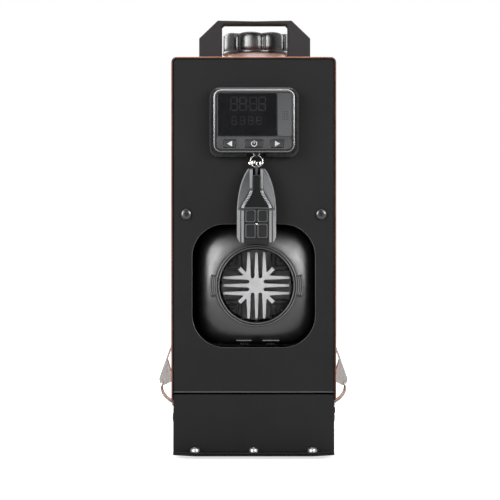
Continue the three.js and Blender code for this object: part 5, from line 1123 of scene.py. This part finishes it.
def screw(name, place, axis, radius, height, shader):
    """A pan head seated at place, with its recess on top."""
    out = {"X": math.copysign(1, place[0]), "Y": -1, "Z": 1}[axis]
    outline = [(1.0, 0.0), (1.0, 0.32), (0.94, 0.62), (0.8, 0.84), (0.58, 0.96), (0.3, 1.0), (0.02, 1.0)]
    profile = [(radius * share, out * height * rise) for share, rise in outline]
    piece = turned(name, profile, place, axis=axis, steps=36)
    top = list(place)
    top["XYZ".index(axis)] += out * height
    crossed(piece, top, axis, radius * 0.52, height * 0.55)
    return finished(piece, shader, "root")


def screws():
    for index, x in enumerate((-53, 0, 53)):
        place = (x, -203, LIP_TOP)
        screw("lip_screw_%d" % index, place, "Z", 4.5, 4.0, SCREW_STEEL)
    for index, x in enumerate((-61.4, 61.4)):
        place = (x, FRONT, 221.5)
        screw("panel_screw_%d" % index, place, "Y", 5.2, 2.8, CAP_BLACK)
    for side, word in SIDES:
        for index, y in enumerate((-170, 170)):
            name = "side_screw_%s_%d" % (word, index)
            place = (side * 73.2, y, 35.0)
            screw(name, place, "X", 4.2, 1.6, CAP_BLACK)


def bails():
    for side, word in SIDES:
        bow = [(16.2, 7.1, 4.1), (16.2, 9.0, 4.1), (16.5, 10.6, 2.8), (17.4, 10.6, -0.6)]
        bow += [(16.2, 10.6, -6.0), (12.6, 10.6, -11.0), (7.8, 10.6, -14.8)]
        bow += [(4.2, 10.6, -17.0), (3.2, 9.0, -17.5), (3.2, 5.3, -17.5)]
        half = [(side * (HALF + x), y, 51.9 + z) for x, y, z in bow]
        path = blended(half + [(x, -y, z) for x, y, z in reversed(half)], 4)
        wire = tube("bail_wire_" + word, path, 0.98, 12)
        node = "latch_bail_" + word
        finished(wire, BAIL_STEEL, BODY_OF[node], (node,))


def side_rubber():
    profile = [(3.6, -3.3), (3.6, 0), (6.5, 0.0), (6.5, 1.5), (6.1, 2.6), (5.2, 3.8), (4.0, 4.9)]
    profile += [(3.2, 5.5), (2.4, 5.9), (2.4, 6.0), (0.05, 6.0)]
    gland = turned("gland", profile, (73.5, -70, 33.5), axis="X", steps=40)
    finished(gland, SHADERS["rubber"], "root", ("power_gland",))
    loop = [(70.4, 100, 30), (73.2, 100, 30), (80.0, 100, 31), (85.6, 100, 37), (80.0, 100, 43)]
    loop += [(73.2, 100, 44), (70.4, 100, 44)]
    lead = tube("lead", blended(loop, 8), 2.55, 20)
    finished(lead, SHADERS["rubber"], "root", ("lead_loop",))
    outline = [(0.05, 0.8), (3.8, 0.8), (4.6, 0.0), (10.5, 0.0), (11.1, 0.5), (11.9, 2.7), (0.05, 2.7)]
    for end, y in (("front", -140), ("rear", 140)):
        for side, word in SIDES:
            corner = end + "_" + word
            foot = turned("rubber_" + corner, outline, (side * 51, y, 0), axis="Z", steps=48)
            finished(foot, SHADERS["rubber"], "root", ("foot_" + corner,))


SCREW_STEEL = brushed("screw_steel", srgb(176, 176, 178), 0.34, (8, 8, 8))
BAIL_STEEL = brushed("bail_steel", srgb(224, 214, 208), 0.25, (8, 8, 8))
screws()
bails()
side_rubber()

# ---------------------------------------------------------------- light, floor and camera

WORLD_LIGHT = 0.36
DARK_FRONT = 0.12
BRIGHT_SIDES = 0.75
FLOOR_LIFT = 0.72


def area_light(name, place, target, size, power, mirrored=True, glint=False):
    """A soft light; mirrored False leaves no reflection, glint leaves nothing else."""
    light = bpy.data.lights.new(name, "AREA")
    light.shape = "RECTANGLE"
    light.size, light.size_y = size
    light.energy = power
    lamp = object_of(name, light)
    lamp.visible_glossy = mirrored
    lamp.visible_diffuse = not glint
    lamp.location = place
    lamp.rotation_euler = (Vector(target) - Vector(place)).to_track_quat("-Z", "Y").to_euler()


def white_world():
    """White for the camera and softer as light; reflections show it dark in front only."""
    world = bpy.data.worlds.new("studio")
    world.use_nodes = True
    bpy.context.scene.world = world
    tree = world.node_tree
    back = tree.nodes["Background"]
    back.inputs["Color"].default_value = (1, 1, 1, 1)
    path = tree.nodes.new("ShaderNodeLightPath")
    place = tree.nodes.new("ShaderNodeTexCoord")
    parts = tree.nodes.new("ShaderNodeSeparateXYZ")
    tree.links.new(place.outputs["Generated"], parts.inputs["Vector"])

    def ranged(source, start, end, low, high):
        made = tree.nodes.new("ShaderNodeMapRange")
        made.inputs["From Min"].default_value = start
        made.inputs["From Max"].default_value = end
        for key, value in (("To Min", low), ("To Max", high)):
            if isinstance(value, float):
                made.inputs[key].default_value = value
            else:
                tree.links.new(value, made.inputs[key])
        tree.links.new(source, made.inputs["Value"])
        return made.outputs["Result"]

    mirrored = ranged(parts.outputs["Y"], -0.75, -0.1, DARK_FRONT, BRIGHT_SIDES)
    lit = ranged(path.outputs["Is Glossy Ray"], 0.0, 1.0, WORLD_LIGHT, mirrored)
    seen = tree.nodes.new("ShaderNodeMath")
    seen.operation = "MAXIMUM"
    tree.links.new(path.outputs["Is Camera Ray"], seen.inputs[0])
    tree.links.new(path.outputs["Is Transmission Ray"], seen.inputs[1])
    strength = ranged(seen.outputs[0], 0.0, 1.0, lit, 1.0)
    tree.links.new(strength, back.inputs["Strength"])


def pale_floor():
    """A wide floor, lifted to white for the camera, that keeps the object's shadow."""
    mesh = bpy.data.meshes.new("floor")
    reach = 40.0
    corners = [(-reach, -reach, 0), (reach, -reach, 0), (reach, reach, 0), (-reach, reach, 0)]
    mesh.from_pydata(corners, [], [(0, 1, 2, 3)])
    floor = object_of("floor", mesh)
    material = bpy.data.materials.new("floor")
    material.use_nodes = True
    tree = material.node_tree
    shader = tree.nodes["Principled BSDF"]
    shader.inputs["Base Color"].default_value = (0.9, 0.9, 0.9, 1)
    shader.inputs["Roughness"].default_value = 0.9
    shader.inputs["Specular IOR Level"].default_value = 0.0
    shader.inputs["Emission Color"].default_value = (1, 1, 1, 1)
    path = tree.nodes.new("ShaderNodeLightPath")
    lift = tree.nodes.new("ShaderNodeMath")
    lift.operation = "MULTIPLY"
    lift.inputs[1].default_value = FLOOR_LIFT
    tree.links.new(path.outputs["Is Camera Ray"], lift.inputs[0])
    tree.links.new(lift.outputs[0], shader.inputs["Emission Strength"])
    mesh.materials.append(material)


white_world()
pale_floor()
area_light("key_left", (-1.1, -1.2, 0.8), (0, 0, 0.2), (0.6, 1.1), 9.5)
area_light("key_right", (1.1, -1.2, 0.8), (0, 0, 0.2), (0.6, 1.1), 8.5)
area_light("glint_left", (-0.85, -1.3, 0.55), (0, 0, 0.35), (0.7, 0.7), 15, glint=True)
area_light("glint_right", (0.72, -1.38, 0.6), (0, 0, 0.38), (0.55, 0.5), 12, glint=True)
area_light("low_fill", (0, -1.7, 0.3), (0, 0, 0.38), (0.8, 0.5), 2.5, mirrored=False)
area_light("top", (0, 0.1, 1.7), (0, 0, 0.3), (1.2, 1.2), 11)
area_light("rear_left", (-1.2, 1.1, 0.8), (0, 0, 0.2), (0.7, 1.0), 10)
area_light("rear_right", (1.2, 1.1, 0.8), (0, 0, 0.2), (0.7, 1.0), 10)

camera_data = bpy.data.cameras.new("camera")
camera_data.lens = CAMERA_LENS
camera_data.sensor_width = CAMERA_SENSOR
camera = object_of("camera", camera_data)
camera.location = CAMERA_AT
camera.rotation_euler = (math.pi / 2, 0, 0)
bpy.context.scene.camera = camera
bpy.context.scene.view_settings.view_transform = "Standard"
